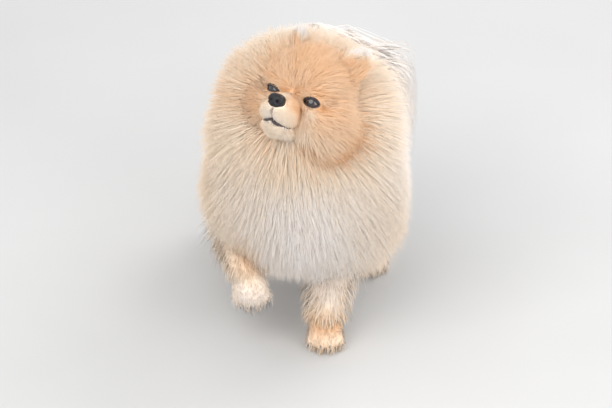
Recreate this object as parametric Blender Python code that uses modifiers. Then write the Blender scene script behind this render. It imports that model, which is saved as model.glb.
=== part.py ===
"""A pomeranian at life size, standing on three feet with its right forepaw lifted.

Metres, +Z up. The dog faces -Y, its left side is at +X, and it stands on Z = 0. The head turns to the
dog's right and looks up. Places on the head are given as (left, forward, up) from the middle of the eyes.
"""

import math
import random

import bmesh
import bpy
import numpy as np
from mathutils import Matrix, Vector
from mathutils.bvhtree import BVHTree
from mathutils.kdtree import KDTree

KEPT, WORK = "pomeranian", "workpieces"
GAP = 0.0003
CRUMB = 0.000001

# Where the head is and how it is turned.
EYE_MIDDLE = Vector((-0.009, -0.082, 0.274))
HEAD_YAW = math.radians(35)
HEAD_PITCH = math.radians(33)

# The body without the outer half of its coat, as balls: centre and radii.
CHEST = ((0.000, -0.036, 0.150), (0.074, 0.070, 0.076))
BARREL = ((0.000, 0.010, 0.147), (0.066, 0.070, 0.060))
RUMP = ((0.000, 0.052, 0.146), (0.062, 0.054, 0.058))
NECK = ((0.000, -0.032, 0.210), (0.066, 0.058, 0.052))
MANE = ((-0.002, -0.018, 0.238), (0.054, 0.040, 0.042))
NECK_CUT = ((0.000, -0.036, 0.196), (0.0, -0.5, 0.87))

# The skull and face, as balls: (left, forward, up) and radii on those axes.
SKULL = ((0.000, -0.030, 0.008), (0.032, 0.034, 0.032))
BROW = ((0.013, -0.008, 0.010), (0.012, 0.010, 0.009))
CHEEK = ((0.022, -0.022, -0.017), (0.020, 0.023, 0.023))
BRIDGE = ((0.000, 0.008, -0.013), (0.014, 0.017, 0.012))
MUZZLE_END = ((0.000, 0.016, -0.014), (0.0105, 0.010, 0.010))
LIP = ((0.008, 0.010, -0.019), (0.009, 0.013, 0.009))
JAW = ((0.000, 0.002, -0.030), (0.014, 0.018, 0.008))
CHIN = ((0.000, 0.013, -0.030), (0.008, 0.008, 0.007))

NOSE = ((0.000, 0.0225, -0.008), (0.0085, 0.0060, 0.0068))
NOSTRIL = ((0.0042, 0.0280, -0.0085), (0.0017, 0.0030, 0.0021))

EYE_PLACE = (0.0205, -0.0085, 0.0)
EYE_RADIUS = 0.0090
SOCKET_GAP = 0.0009
EYE_TURN_OUT = math.radians(24)
LID_HALF_WIDTH = 0.0084
LID_HALF_HEIGHT = 0.0060
LID_THICKNESS = 0.0014

MOUTH_LINE = (
    (0.0205, -0.012, -0.0325),
    (0.0185, 0.000, -0.0300),
    (0.0120, 0.014, -0.0265),
    (0.0050, 0.023, -0.0248),
    (0.0000, 0.026, -0.0252),
)
LIP_RADIUS = 0.0021
MOUTH_SLOT_RADIUS = 0.0008

EAR_ROOT = (0.0225, -0.032, 0.024)
EAR_TIP = (0.0360, -0.0445, 0.0555)
EAR_HALF_WIDTH = 0.0125
EAR_CUP_DEPTH = 0.0050
EAR_THICKNESS = 0.0022
EAR_FACES = (0.55, 0.80, 0.0)

# Limbs: the points and radii of each, from inside the body down to the foot.
FORELEG_LEFT = (
    ((0.034, -0.046, 0.128), 0.022),
    ((0.035, -0.052, 0.098), 0.024),
    ((0.028, -0.070, 0.062), 0.0205),
    ((0.024, -0.080, 0.036), 0.0185),
    ((0.023, -0.083, 0.018), 0.0170),
)
FORELEG_RIGHT = (
    ((-0.040, -0.040, 0.128), 0.020),
    ((-0.060, -0.030, 0.100), 0.021),
    ((-0.058, -0.056, 0.092), 0.0195),
    ((-0.053, -0.078, 0.084), 0.0180),
    ((-0.049, -0.086, 0.068), 0.0170),
)
HINDLEG_LEFT = (
    ((0.036, 0.046, 0.128), 0.034),
    ((0.052, 0.028, 0.094), 0.030),
    ((0.062, 0.056, 0.060), 0.021),
    ((0.064, 0.064, 0.040), 0.0160),
    ((0.064, 0.056, 0.018), 0.0155),
)
HINDLEG_RIGHT = (
    ((-0.036, 0.062, 0.128), 0.034),
    ((-0.052, 0.048, 0.094), 0.030),
    ((-0.060, 0.082, 0.060), 0.021),
    ((-0.062, 0.092, 0.040), 0.0160),
    ((-0.062, 0.084, 0.018), 0.0155),
)

# Paws: where the foot's middle is, which way its toes point and which way its back faces.
STANDING = (0.0, 0.45, 1.0)
PAWS = {
    "forepaw_left": ((0.023, -0.085, 0.013), (0.0, -1.0, 0.0), STANDING),
    "forepaw_right": ((-0.048, -0.090, 0.062), (0.10, -0.25, -1.0), (0.0, -1.0, 0.0)),
    "hindpaw_left": ((0.065, 0.047, 0.013), (0.15, -1.0, 0.0), STANDING),
    "hindpaw_right": ((-0.063, 0.075, 0.013), (-0.15, -1.0, 0.0), STANDING),
}
PAW_HALF = (0.0175, 0.0190, 0.0145)
TOE_HALF = (0.0062, 0.0085, 0.0080)
TOES = ((-0.0125, 0.0100), (-0.0043, 0.0150), (0.0043, 0.0150), (0.0125, 0.0100))
CLAW_LENGTH = 0.0055
CLAW_RADIUS = 0.0015
WRIST_ABOVE_PAW = 0.020

# The tail rises from the croup and lies forward along the back.
TAIL = (
    ((0.003, 0.082, 0.172), 0.016),
    ((0.004, 0.110, 0.196), 0.016),
    ((0.008, 0.108, 0.222), 0.015),
    ((0.020, 0.070, 0.238), 0.013),
    ((0.036, 0.022, 0.238), 0.010),
)
TAIL_CUT = ((0.006, 0.112, 0.211), (0.0, -0.30, 0.95))

# Locks: how far apart they are rooted, how long and wide they are, and how high their tips stand.
BODY_LOCK = {"apart": 0.0400, "length": 0.054, "width": 0.044, "height": 0.021}
HEAD_LOCK = {"apart": 0.0205, "length": 0.030, "width": 0.023, "height": 0.014}
LEG_LOCK = {"length": 0.034, "width": 0.024, "height": 0.009}
TAIL_LOCK = {"length": 0.116, "width": 0.036, "height": 0.15}
LOCK_SINK = 0.006
LOCK_THICKNESS = 0.26
LOCK_STATIONS = ((0.0, 0.75), (0.36, 1.0), (0.72, 0.66))
FALL = 0.35

TAIL_LOCKS = 20
TAIL_LEAN = (0.95, -0.12, -0.05)
TAIL_DROOP = 0.40
TAIL_FAN = (-0.35, 0.25, 0.85, 2.55, 0.0, 0.55, 1.90)
# How many locks a leg has, over which share of it, and how far round from its outer side they grow.
LEG_LOCKS = {
    "foreleg_left": (6, 0.40, 0.80, (1.2, 1.9, 1.5)),
    "foreleg_right": (6, 0.40, 0.75, (1.2, 1.9, 1.5)),
    "hindleg_left": (10, 0.05, 0.75, (-0.9, 0.2, 1.2, 2.0)),
    "hindleg_right": (10, 0.05, 0.75, (-0.9, 0.2, 1.2, 2.0)),
}
FACE_CLEAR = 0.046
EAR_CLEAR = 0.016

# Colour and roughness of each kind of node.
COAT_LOOK = ((0.86, 0.66, 0.46), 0.85)
EYE_LOOK = ((0.03, 0.018, 0.012), 0.08)
NOSE_LOOK = ((0.025, 0.022, 0.022), 0.4)

BODY_VOXEL, BODY_FACES = 0.0045, 500
HEAD_VOXEL, HEAD_FACES = 0.0014, 960
SEED = 7


def head_axes():
    """The head's own axes in the world, as the columns left, forward and up."""
    forward = Vector(
        (
            -math.sin(HEAD_YAW) * math.cos(HEAD_PITCH),
            -math.cos(HEAD_YAW) * math.cos(HEAD_PITCH),
            math.sin(HEAD_PITCH),
        )
    )
    left = Vector((math.cos(HEAD_YAW), -math.sin(HEAD_YAW), 0.0))
    return Matrix((left, forward, forward.cross(left))).transposed()


HEAD_TURN = head_axes()


def on_head(place, side=1):
    """The world point of a place on the head; side -1 mirrors it to the dog's right."""
    left, forward, up = place
    return EYE_MIDDLE + HEAD_TURN @ Vector((left * side, forward, up))


def head_direction(place, side=1):
    left, forward, up = place
    return (HEAD_TURN @ Vector((left * side, forward, up))).normalized()


def clear_scene():
    """Empties the scene and adds a collection for the dog and one for work pieces and cutters."""
    for obj in list(bpy.data.objects):
        bpy.data.objects.remove(obj)
    for name in (KEPT, WORK):
        bpy.context.scene.collection.children.link(bpy.data.collections.new(name))


def workpiece(name, mesh):
    """An object in the collection of work pieces and cutters."""
    obj = bpy.data.objects.new(name, mesh)
    bpy.data.collections[WORK].objects.link(obj)
    return obj


def object_of(name, bm):
    """Links a bmesh as an object whose faces point outwards."""
    bmesh.ops.recalc_face_normals(bm, faces=bm.faces)
    mesh = bpy.data.meshes.new(name)
    bm.to_mesh(mesh)
    bm.free()
    return workpiece(name, mesh)


def ball(centre, radii, turn=None, detail=3, grow=0.0):
    """A round form with three radii, on the world's axes or on those of turn."""
    turn = (turn or Matrix.Identity(3)).to_4x4()
    stretch = Matrix.Diagonal([*(r + grow for r in radii), 1.0])
    bm = bmesh.new()
    bmesh.ops.create_icosphere(
        bm, subdivisions=detail, radius=1.0, matrix=Matrix.Translation(centre) @ turn @ stretch
    )
    return object_of("ball", bm)


def head_ball(form, side=1, grow=0.0, detail=3):
    place, radii = form
    return ball(on_head(place, side), radii, HEAD_TURN, detail, grow)


def toe_ball(centre, turn, grow=0.0):
    stretch = Matrix.Diagonal([*(r + grow for r in TOE_HALF), 1.0])
    bm = bmesh.new()
    matrix = Matrix.Translation(centre) @ turn.to_4x4() @ stretch
    bmesh.ops.create_uvsphere(bm, u_segments=8, v_segments=4, radius=1.0, matrix=matrix)
    return object_of("toe", bm)


def within(form, point, by=0.0):
    """Whether a point lies inside a ball of this centre and radii, made larger by this much."""
    centre, radii = form
    return sum(((p - c) / (r + by)) ** 2 for p, c, r in zip(point, centre, radii)) < 1.0


def loft(rings, flat=False):
    """A closed skin over rings of points; flat rings are capped straight across, others by a fan."""
    bm = bmesh.new()
    rows = [[bm.verts.new(point) for point in ring] for ring in rings]
    count = len(rows[0])
    for low, high in zip(rows, rows[1:]):
        for i in range(count):
            j = (i + 1) % count
            bm.faces.new((low[i], low[j], high[j]))
            bm.faces.new((low[i], high[j], high[i]))
    for row in (rows[0], rows[-1]):
        if flat:
            for i in range(count // 2 - 1):
                bm.faces.new((row[i], row[i + 1], row[-i - 2]))
                bm.faces.new((row[i], row[-i - 2], row[-i - 1]))
            continue
        middle = bm.verts.new(sum((v.co for v in row), Vector()) / count)
        for i in range(count):
            bm.faces.new((row[i], row[(i + 1) % count], middle))
    return object_of("loft", bm)


def smooth_path(points, steps):
    """Points on a Catmull-Rom curve through these vectors, with steps to each stretch."""
    ends = [points[0] * 2 - points[1], *points, points[-1] * 2 - points[-2]]
    path = []
    for a, b, c, d in zip(ends, ends[1:], ends[2:], ends[3:]):
        for k in range(steps):
            t = k / steps
            path.append(
                0.5
                * (
                    2 * b
                    + (c - a) * t
                    + (2 * a - 5 * b + 4 * c - d) * t**2
                    + (3 * b - a - 3 * c + d) * t**3
                )
            )
    return [*path, points[-1].copy()]


def limb(stations, grow=0.0, steps=1):
    """A limb as rounded stretches, each the hull of two balls on its path."""
    path = smooth_path([Vector((*point, radius)) for point, radius in stations], steps)
    pieces = []
    for low, high in zip(path, path[1:]):
        bm = bmesh.new()
        for end in (low, high):
            place = Matrix.Translation(end.to_3d())
            bmesh.ops.create_icosphere(bm, subdivisions=2, radius=end[3] + grow, matrix=place)
        hull = bmesh.ops.convex_hull(bm, input=bm.verts)
        spare = {*hull["geom_interior"], *hull["geom_unused"]}
        bmesh.ops.delete(bm, geom=[g for g in spare if isinstance(g, bmesh.types.BMVert)])
        bmesh.ops.delete(bm, geom=[f for f in bm.faces if f not in set(hull["geom"])], context="FACES")
        pieces.append(object_of("stretch", bm))
    return pieces


def settle(obj):
    """Applies the object's modifiers to its mesh."""
    graph = bpy.context.evaluated_depsgraph_get()
    mesh = bpy.data.meshes.new_from_object(obj.evaluated_get(graph))
    obj.modifiers.clear()
    obj.data = mesh
    return obj


def combine(obj, operation, others, solver="MANIFOLD"):
    """Joins, cuts or trims obj by the other objects, which are then removed."""
    tools = bpy.data.collections.new("tools")
    for other in others:
        tools.objects.link(other)
    step = obj.modifiers.new(operation.lower(), "BOOLEAN")
    step.operation = operation
    step.operand_type = "COLLECTION"
    step.collection = tools
    step.solver = solver
    settle(obj)
    for other in others:
        bpy.data.objects.remove(other)
    bpy.data.collections.remove(tools)
    return obj


def largest_shell(obj):
    """Keeps only the mesh's largest closed surface."""
    bm = bmesh.new()
    bm.from_mesh(obj.data)
    bmesh.ops.triangulate(bm, faces=bm.faces)
    waiting, shells = set(bm.faces), []
    while waiting:
        front = [waiting.pop()]
        shell = set(front)
        while front:
            for edge in front.pop().edges:
                for face in edge.link_faces:
                    if face in waiting:
                        waiting.remove(face)
                        shell.add(face)
                        front.append(face)
        shells.append(shell)
    shells.sort(key=lambda shell: sum(face.calc_area() for face in shell))
    bmesh.ops.delete(bm, geom=[f for shell in shells[:-1] for f in shell], context="FACES")
    bmesh.ops.dissolve_degenerate(bm, dist=CRUMB, edges=bm.edges)
    bmesh.ops.triangulate(bm, faces=bm.faces)
    bm.to_mesh(obj.data)
    bm.free()
    return obj


def soft_form(pieces, voxel, rounds, faces):
    """One smooth closed form over the pieces, and its points and normals before it was made coarse."""
    form = pieces[0]
    bm = bmesh.new()
    for piece in pieces:
        bm.from_mesh(piece.data)
    bm.to_mesh(form.data)
    bm.free()
    for piece in pieces[1:]:
        bpy.data.objects.remove(piece)
    remesh = form.modifiers.new("remesh", "REMESH")
    remesh.mode = "VOXEL"
    remesh.voxel_size = voxel
    smooth = form.modifiers.new("smooth", "SMOOTH")
    smooth.factor = 0.5
    smooth.iterations = rounds
    settle(form)
    points = [v.co.copy() for v in form.data.vertices]
    normals = [v.normal.copy() for v in form.data.vertices]
    thin = form.modifiers.new("thin", "DECIMATE")
    thin.ratio = faces / (2 * len(form.data.polygons))
    return settle(form), points, normals


def grown_copy(obj, by):
    """A copy of a smooth closed object whose surface stands out by this much."""
    copy = workpiece("grown", obj.data.copy())
    for vert, normal in zip(copy.data.vertices, [v.normal.copy() for v in obj.data.vertices]):
        vert.co += normal * by
    return copy


def half_space(point, normal, size=0.6):
    """A large box that fills the side of a plane that its normal points to."""
    turn = Vector(normal).to_track_quat("Z", "Y").to_matrix().to_4x4()
    lift = Matrix.Translation((0.0, 0.0, size / 2))
    bm = bmesh.new()
    bmesh.ops.create_cube(bm, size=size, matrix=Matrix.Translation(point) @ turn @ lift)
    return object_of("half", bm)


def part_by_plane(obj, point, normal, name_above, name_below):
    """Parts an object by a thin plane cut into two named nodes."""
    point, normal = Vector(point), Vector(normal).normalized()
    above = workpiece(name_above, obj.data.copy())
    below = workpiece(name_below, obj.data.copy())
    combine(above, "INTERSECT", [half_space(point + normal * GAP / 2, normal)])
    combine(below, "INTERSECT", [half_space(point - normal * GAP / 2, -normal)])
    bpy.data.objects.remove(obj)
    return largest_shell(above), largest_shell(below)


def lock(low, mid, tip, out, width, grow=0.0):
    """A flat tapered lock, bent from its sunken root past mid to its tip."""
    across = out.cross(tip - low).normalized()
    rings = []
    for share, wide in LOCK_STATIONS:
        spot = low * (1 - share) ** 2 + mid * 2 * share * (1 - share) + tip * share**2
        ahead = ((mid - low) * (1 - share) + (tip - mid) * share).normalized()
        over = across.cross(ahead)
        half = width * wide / 2 + grow * 1.5
        thick = width * wide * LOCK_THICKNESS / 2 + grow * 1.5
        spot -= ahead * grow * (share == 0.0)
        rings.append([spot + across * half, spot + over * thick, spot - across * half, spot - over * thick])
    bm = bmesh.new()
    rows = [[bm.verts.new(corner) for corner in ring] for ring in rings]
    for below, above in zip(rows, rows[1:]):
        for i in range(4):
            j = (i + 1) % 4
            bm.faces.new((below[i], below[j], above[j]))
            bm.faces.new((below[i], above[j], above[i]))
    end = bm.verts.new(tip + (tip - mid).normalized() * grow * 8)
    for i in range(4):
        bm.faces.new((rows[-1][i], rows[-1][(i + 1) % 4], end))
    bm.faces.new(rows[0])
    return object_of("lock", bm)


def coat_lie(point, out):
    """The way hair lies at a point: away from the nose and a little down, along the surface."""
    way = (point - on_head(NOSE[0])).normalized() + Vector((0.0, 0.0, -FALL))
    return (way - out * way.dot(out)).normalized()


def even_roots(points, normals, apart, allowed):
    """Picks points that lie at least this far apart, in a seeded random order."""
    order = list(range(len(points)))
    random.Random(SEED).shuffle(order)
    kept = []
    for i in order:
        point = points[i]
        if allowed(point) and all((point - other).length > apart for other, _ in kept):
            kept.append((point, normals[i]))
    return kept


def raised(tree, point, height):
    """The place above the surface nearest to a point."""
    spot, out, _, _ = tree.find_nearest(point)
    return spot + out * height


def grown_locks(roots, tree, size, grow=0.0):
    """A lock at every root that lies along the surface, each a little different from the next."""
    draw = random.Random(SEED + 1)
    locks = []
    for root, out in roots:
        turn = Matrix.Rotation(draw.uniform(-0.25, 0.25), 3, out)
        reach = turn @ coat_lie(root, out) * size["length"] * draw.uniform(0.88, 1.12)
        height = size["height"] * draw.uniform(0.85, 1.15)
        mid = raised(tree, root + reach * 0.45, height * 0.95)
        tip = raised(tree, root + reach, height)
        width = size["width"] * draw.uniform(0.9, 1.1)
        locks.append(lock(root - out * LOCK_SINK, mid, tip, out, width, grow))
    return locks


def free_lock(root, out, along, length, width, height, grow):
    """A lock that leaves a limb or the tail and hangs clear of it."""
    mid = root + out * height * 0.9 + along * length * 0.42
    tip = root + out * height + along * length * 0.95
    return lock(root - out * LOCK_SINK, mid, tip, out, width, grow)


def limb_locks(name, stations, grow=0.0):
    """Locks down the outside and the back of a leg."""
    count, first, last, turns = LEG_LOCKS[name]
    draw = random.Random(SEED + len(name))
    path = smooth_path([Vector((*point, radius)) for point, radius in stations], 6)
    outside = 1.0 if stations[0][0][0] > 0 else -1.0
    locks = []
    for k in range(count):
        share = first + (last - first) * (k + 0.5) / count
        i = int(share * (len(path) - 2))
        down = (path[i + 1] - path[i]).to_3d().normalized()
        back = Vector((0.0, 1.0, 0.0))
        aside = Vector((outside, 0.0, 0.0))
        angle = turns[k % len(turns)] + draw.uniform(-0.15, 0.15)
        out = aside * math.cos(angle) + back * math.sin(angle)
        out = (out - down * out.dot(down)).normalized()
        root = path[i].to_3d() + out * path[i][3] * 0.96
        if any(within(form, root) for form in (CHEST, BARREL, RUMP)):
            continue
        length = LEG_LOCK["length"] * draw.uniform(0.9, 1.15)
        height = LEG_LOCK["height"]
        locks.append(free_lock(root, out, down, length, LEG_LOCK["width"], height, grow))
    return locks


def plume_locks(grow=0.0):
    """The tail's long locks, fanned from its upper side to the dog's left flank."""
    draw = random.Random(SEED + 3)
    path = smooth_path([Vector((*point, radius)) for point, radius in TAIL], 8)
    locks = []
    for k in range(TAIL_LOCKS):
        share = 0.20 + 0.80 * (k + 0.5) / TAIL_LOCKS
        i = min(int(share * (len(path) - 1)), len(path) - 2)
        ahead = (path[i + 1] - path[i]).to_3d().normalized()
        lean = Vector(TAIL_LEAN)
        side = (lean - ahead * lean.dot(ahead)).normalized()
        over = side.cross(ahead)
        over = over if over.z > 0 else -over
        angle = TAIL_FAN[k % 7] + draw.uniform(-0.12, 0.12)
        out = side * math.cos(angle) + over * math.sin(angle)
        reach = 1.0 if math.cos(angle) > 0 else -0.7
        droop = Vector((0.0, 0.0, -TAIL_DROOP * (1.0 + 2.2 * (1.0 - share))))
        sweep = ahead * draw.uniform(0.05, 0.45) * share + droop
        along = (side * reach + sweep).normalized()
        along = (along - out * along.dot(out) * 0.55).normalized()
        length = TAIL_LOCK["length"] * (0.62 + 0.38 * math.sin(math.pi * min(share * 1.1, 1.0)))
        length *= 1.0 if reach > 0 else 0.62
        root = path[i].to_3d() + out * path[i][3] * 0.8
        height = length * TAIL_LOCK["height"]
        locks.append(free_lock(root, out, along, length, TAIL_LOCK["width"], height, grow))
    return locks


def claw(place, turn, grow):
    """A small cone that points where the toe points."""
    bm = bmesh.new()
    lay = Matrix.Rotation(-math.pi / 2, 4, "X")
    length = CLAW_LENGTH + 0.002
    matrix = Matrix.Translation(place) @ turn.to_4x4() @ lay @ Matrix.Translation((0, 0, length / 2))
    bmesh.ops.create_cone(
        bm,
        cap_ends=True,
        segments=5,
        radius1=CLAW_RADIUS + grow,
        radius2=CLAW_RADIUS * 0.3 + grow,
        depth=length + 2 * grow,
        matrix=matrix,
    )
    return object_of("claw", bm)


def paw_pieces(name, grow=0.0):
    """The foot, its four toes and their claws."""
    middle, toward, above = PAWS[name]
    forward = Vector(toward).normalized()
    side = forward.cross(Vector(above)).normalized()
    turn = Matrix((side, forward, side.cross(forward))).transposed()
    middle = Vector(middle)
    pieces = [ball(middle, PAW_HALF, turn, 2, grow)]
    low = -0.0045
    for across, ahead in TOES:
        place = middle + turn @ Vector((across, ahead, low))
        pieces.append(toe_ball(place, turn, grow))
        nail = Vector((across * 1.12, ahead + TOE_HALF[1] * 0.75, low - 0.0008))
        pieces.append(claw(middle + turn @ nail, turn, grow))
    return pieces


def leg_pieces(name, stations, paw, grow=0.0):
    return [*limb(stations, grow), *limb_locks(name, stations, grow), *paw_pieces(paw, grow)]


def tail_pieces(grow=0.0):
    return [*limb(TAIL, grow, steps=2), *plume_locks(grow)]


def ear_pieces(side, grow=0.0):
    """A cupped leaf from its root in the head to a rounded tip, open to the front and side."""
    root, tip = on_head(EAR_ROOT, side), on_head(EAR_TIP, side)
    along = (tip - root).normalized()
    faces = head_direction(EAR_FACES, side)
    faces = (faces - along * faces.dot(along)).normalized()
    across = along.cross(faces)
    length = (tip - root).length
    root -= along * grow
    rings = []
    for k in range(8):
        t = k / 7
        half = EAR_HALF_WIDTH * math.sqrt(max(1.0 - t**2.4, 0.02)) + grow
        depth = EAR_CUP_DEPTH * (1.0 - 0.6 * t)
        wall = EAR_THICKNESS * (1.0 - 0.5 * t) / 2 + grow
        outer, inner = [], []
        for j in range(7):
            s = j / 3 - 1
            spot = root + along * (t * (length + 2 * grow)) + across * (half * s) + faces * (depth * s * s)
            outer.append(spot - faces * wall)
            inner.append(spot + faces * wall)
        rings.append([*outer, *reversed(inner)])
    return [loft(rings, flat=True)]


def eye_ball(side, grow=0.0, detail=3):
    return ball(on_head(EYE_PLACE, side), (EYE_RADIUS,) * 3, HEAD_TURN, detail, grow)


def eye_lid(side):
    """A rim that follows the eyeball round the opening."""
    out = math.sin(EYE_TURN_OUT)
    ahead = head_direction((out, math.cos(EYE_TURN_OUT), 0.0), side)
    up = head_direction((0.0, 0.0, 1.0))
    across = up.cross(ahead)
    centre = on_head(EYE_PLACE, side)
    count, ring_sides = 16, 5
    spots = []
    for k in range(count):
        a = 2 * math.pi * k / count
        x, y = LID_HALF_WIDTH * math.cos(a), LID_HALF_HEIGHT * math.sin(a)
        z = math.sqrt(EYE_RADIUS**2 - x * x - y * y)
        spots.append(centre + across * x + up * y + ahead * z)
    bm = bmesh.new()
    rows = []
    for k, spot in enumerate(spots):
        away = (spot - centre).normalized()
        along = (spots[(k + 1) % count] - spots[k - 1]).normalized()
        over = away.cross(along)
        turns = [2 * math.pi * j / ring_sides for j in range(ring_sides)]
        rows.append(
            [
                bm.verts.new(spot + LID_THICKNESS * (away * math.cos(a) + over * math.sin(a)))
                for a in turns
            ]
        )
    for low, high in zip(rows, rows[1:] + rows[:1]):
        for j in range(ring_sides):
            n = (j + 1) % ring_sides
            bm.faces.new((low[j], low[n], high[n], high[j]))
    return object_of("lid", bm)


def mouth_path(head_points):
    """The mouth's line on the head's surface, from corner to corner."""
    line = [on_head(p) for p in MOUTH_LINE] + [on_head(p, -1) for p in MOUTH_LINE[-2::-1]]
    tree = KDTree(len(head_points))
    for i, point in enumerate(head_points):
        tree.insert(point, i)
    tree.balance()
    return [tree.find(p)[0] for p in smooth_path(line, 3)]


def rim(path, radius, sides=5):
    """A round rim along a path, tapered at both ends."""
    stations = []
    for i, point in enumerate(path):
        share = min(i, len(path) - 1 - i) / 3
        stations.append((point, radius * min(1.0, 0.5 + 0.5 * share)))
    rings = []
    for i, (point, r) in enumerate(stations):
        along = (path[min(i + 1, len(path) - 1)] - path[max(i - 1, 0)]).normalized()
        side = along.cross(HEAD_TURN.col[2]).normalized()
        over = along.cross(side)
        turns = [2 * math.pi * k / sides for k in range(sides)]
        rings.append([point + r * (side * math.cos(a) + over * math.sin(a)) for a in turns])
    return loft(rings)


def head_forms():
    pieces = [head_ball(form) for form in (SKULL, BRIDGE, MUZZLE_END, JAW, CHIN)]
    for form in (BROW, CHEEK, LIP):
        pieces += [head_ball(form, side) for side in (1, -1)]
    return pieces


def make_head():
    """The head with its locks, lids, lips and mouth, and the cutters that clear the neck from it."""
    core, points, normals = soft_form(head_forms(), HEAD_VOXEL, 5, HEAD_FACES)
    core.name = "head"
    middle = on_head((0.0, 0.010, -0.010))
    ears = [(on_head(EAR_ROOT, side), (EAR_CLEAR,) * 3) for side in (1, -1)]

    def clear(point):
        hidden = any(within(form, point, 0.004) for form in (NECK, MANE))
        near_ear = any(within(form, point) for form in ears)
        return (point - middle).length > FACE_CLEAR and not hidden and not near_ear

    roots = even_roots(points, normals, HEAD_LOCK["apart"], clear)
    tree = BVHTree.FromObject(core, bpy.context.evaluated_depsgraph_get())
    cutters = [grown_copy(core, GAP), *grown_locks(roots, tree, HEAD_LOCK, GAP)]
    path = mouth_path(points)
    rims = [eye_lid(1), eye_lid(-1), rim(path, LIP_RADIUS)]
    combine(core, "UNION", [*rims, *grown_locks(roots, tree, HEAD_LOCK)])
    outward = [(p - on_head((0.0, -0.02, -0.02))).normalized() for p in path]
    slot = [p + n * LIP_RADIUS for p, n in zip(path, outward)]
    cuts = [rim(slot, MOUTH_SLOT_RADIUS), head_ball(NOSE, 1, GAP, 2)]
    for side in (1, -1):
        cuts += [eye_ball(side, SOCKET_GAP, 2), *ear_pieces(side, GAP)]
    combine(core, "DIFFERENCE", cuts)
    return largest_shell(core), cutters


def make_tail():
    pieces = tail_pieces()
    tail = combine(pieces[0], "UNION", pieces[1:])
    return part_by_plane(tail, *TAIL_CUT, "tail_plume", "tail_base")


def make_ear(side):
    ear = ear_pieces(side)[0]
    ear.name = "ear_left" if side == 1 else "ear_right"
    return ear


def make_eye(side):
    eye = eye_ball(side)
    eye.name = "eye_left" if side == 1 else "eye_right"
    return eye


def make_nose():
    nose = head_ball(NOSE, 1, 0.0, 2)
    nose.name = "nose"
    return combine(nose, "DIFFERENCE", [head_ball(NOSTRIL, side, 0.0, 1) for side in (1, -1)])


def make_body(head_cutters):
    """The neck and torso with their locks, cleared from the head, legs and tail."""
    forms = [ball(*form, detail=4) for form in (CHEST, BARREL, RUMP, NECK, MANE)]
    core, points, normals = soft_form(forms, BODY_VOXEL, 8, BODY_FACES)
    graph = bpy.context.evaluated_depsgraph_get()
    tree = BVHTree.FromObject(core, graph)
    head = BVHTree.FromObject(head_cutters[0], graph)

    def clear(point):
        spot, out, _, _ = head.find_nearest(point)
        thighs = (HINDLEG_LEFT, HINDLEG_RIGHT, FORELEG_LEFT, FORELEG_RIGHT)
        legs = [(place, (radius,) * 3) for leg in thighs for place, radius in leg[:3]]
        return (point - spot).dot(out) > 0.0 and not any(within(leg, point) for leg in legs)

    roots = even_roots(points, normals, BODY_LOCK["apart"], clear)
    combine(core, "UNION", grown_locks(roots, tree, BODY_LOCK))
    cuts = [*head_cutters, *tail_pieces(GAP)]
    for name, (stations, paw) in LEGS.items():
        cuts += leg_pieces(name, stations, paw, GAP)
    for side in (1, -1):
        cuts += [*ear_pieces(side, GAP), eye_ball(side, SOCKET_GAP, 2)]
    combine(core, "DIFFERENCE", cuts)
    return part_by_plane(core, *NECK_CUT, "neck", "torso")


LEGS = {
    "foreleg_left": (FORELEG_LEFT, "forepaw_left"),
    "foreleg_right": (FORELEG_RIGHT, "forepaw_right"),
    "hindleg_left": (HINDLEG_LEFT, "hindpaw_left"),
    "hindleg_right": (HINDLEG_RIGHT, "hindpaw_right"),
}


def make_leg(name, stations, paw):
    """One leg parted from its paw, with the sole cut flat at the floor."""
    pieces = leg_pieces(name, stations, paw)
    whole = combine(pieces[0], "UNION", pieces[1:])
    combine(whole, "INTERSECT", [half_space((0.0, 0.0, 0.0), (0.0, 0.0, 1.0))])
    middle = Vector(PAWS[paw][0])
    knee = Vector(stations[3][0])
    toward = (knee - middle).normalized()
    return part_by_plane(whole, middle + toward * WRIST_ABOVE_PAW, toward, name, paw)


def centre_on_floor(nodes):
    """Moves every mesh so that the middle of the model's footprint is the origin."""
    spots = [vert.co for node in nodes for vert in node.data.vertices]
    middle = [(min(s[i] for s in spots) + max(s[i] for s in spots)) / 2 for i in (0, 1)]
    shift = Matrix.Translation((-middle[0], -middle[1], -min(s.z for s in spots)))
    for node in nodes:
        node.data.transform(shift)


def finish(node, look):
    """Gives a node its own material and moves it from the work pieces to the dog."""
    colour, roughness = look
    material = bpy.data.materials.new(node.name + "_finish")
    material.use_nodes = True
    shader = material.node_tree.nodes["Principled BSDF"]
    shader.inputs["Base Color"].default_value = (*colour, 1.0)
    shader.inputs["Roughness"].default_value = roughness
    node.data.materials.clear()
    node.data.materials.append(material)
    node.data.shade_smooth()
    bpy.data.collections[WORK].objects.unlink(node)
    bpy.data.collections[KEPT].objects.link(node)


def main():
    clear_scene()
    head, head_cutters = make_head()
    furred = [head, *make_body(head_cutters), *make_tail()]
    for name, (stations, paw) in LEGS.items():
        furred += make_leg(name, stations, paw)
    furred += [make_ear(side) for side in (1, -1)]
    eyes = [make_eye(side) for side in (1, -1)]
    nose = make_nose()
    centre_on_floor([*furred, *eyes, nose])
    for nodes, look in ((furred, COAT_LOOK), (eyes, EYE_LOOK), ([nose], NOSE_LOOK)):
        for node in nodes:
            finish(node, look)


main()
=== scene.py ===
"""A pomeranian at life size: skin, eyes, nose, claws and a coat of fine tufts, on a pale floor.

Lengths are metres. The dog faces -Y and its left side is at +X. Places on the head are given as
(left, forward, up) from the middle of the eyes. A form is a tuple of points, quads and triangles.
"""

import math

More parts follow.
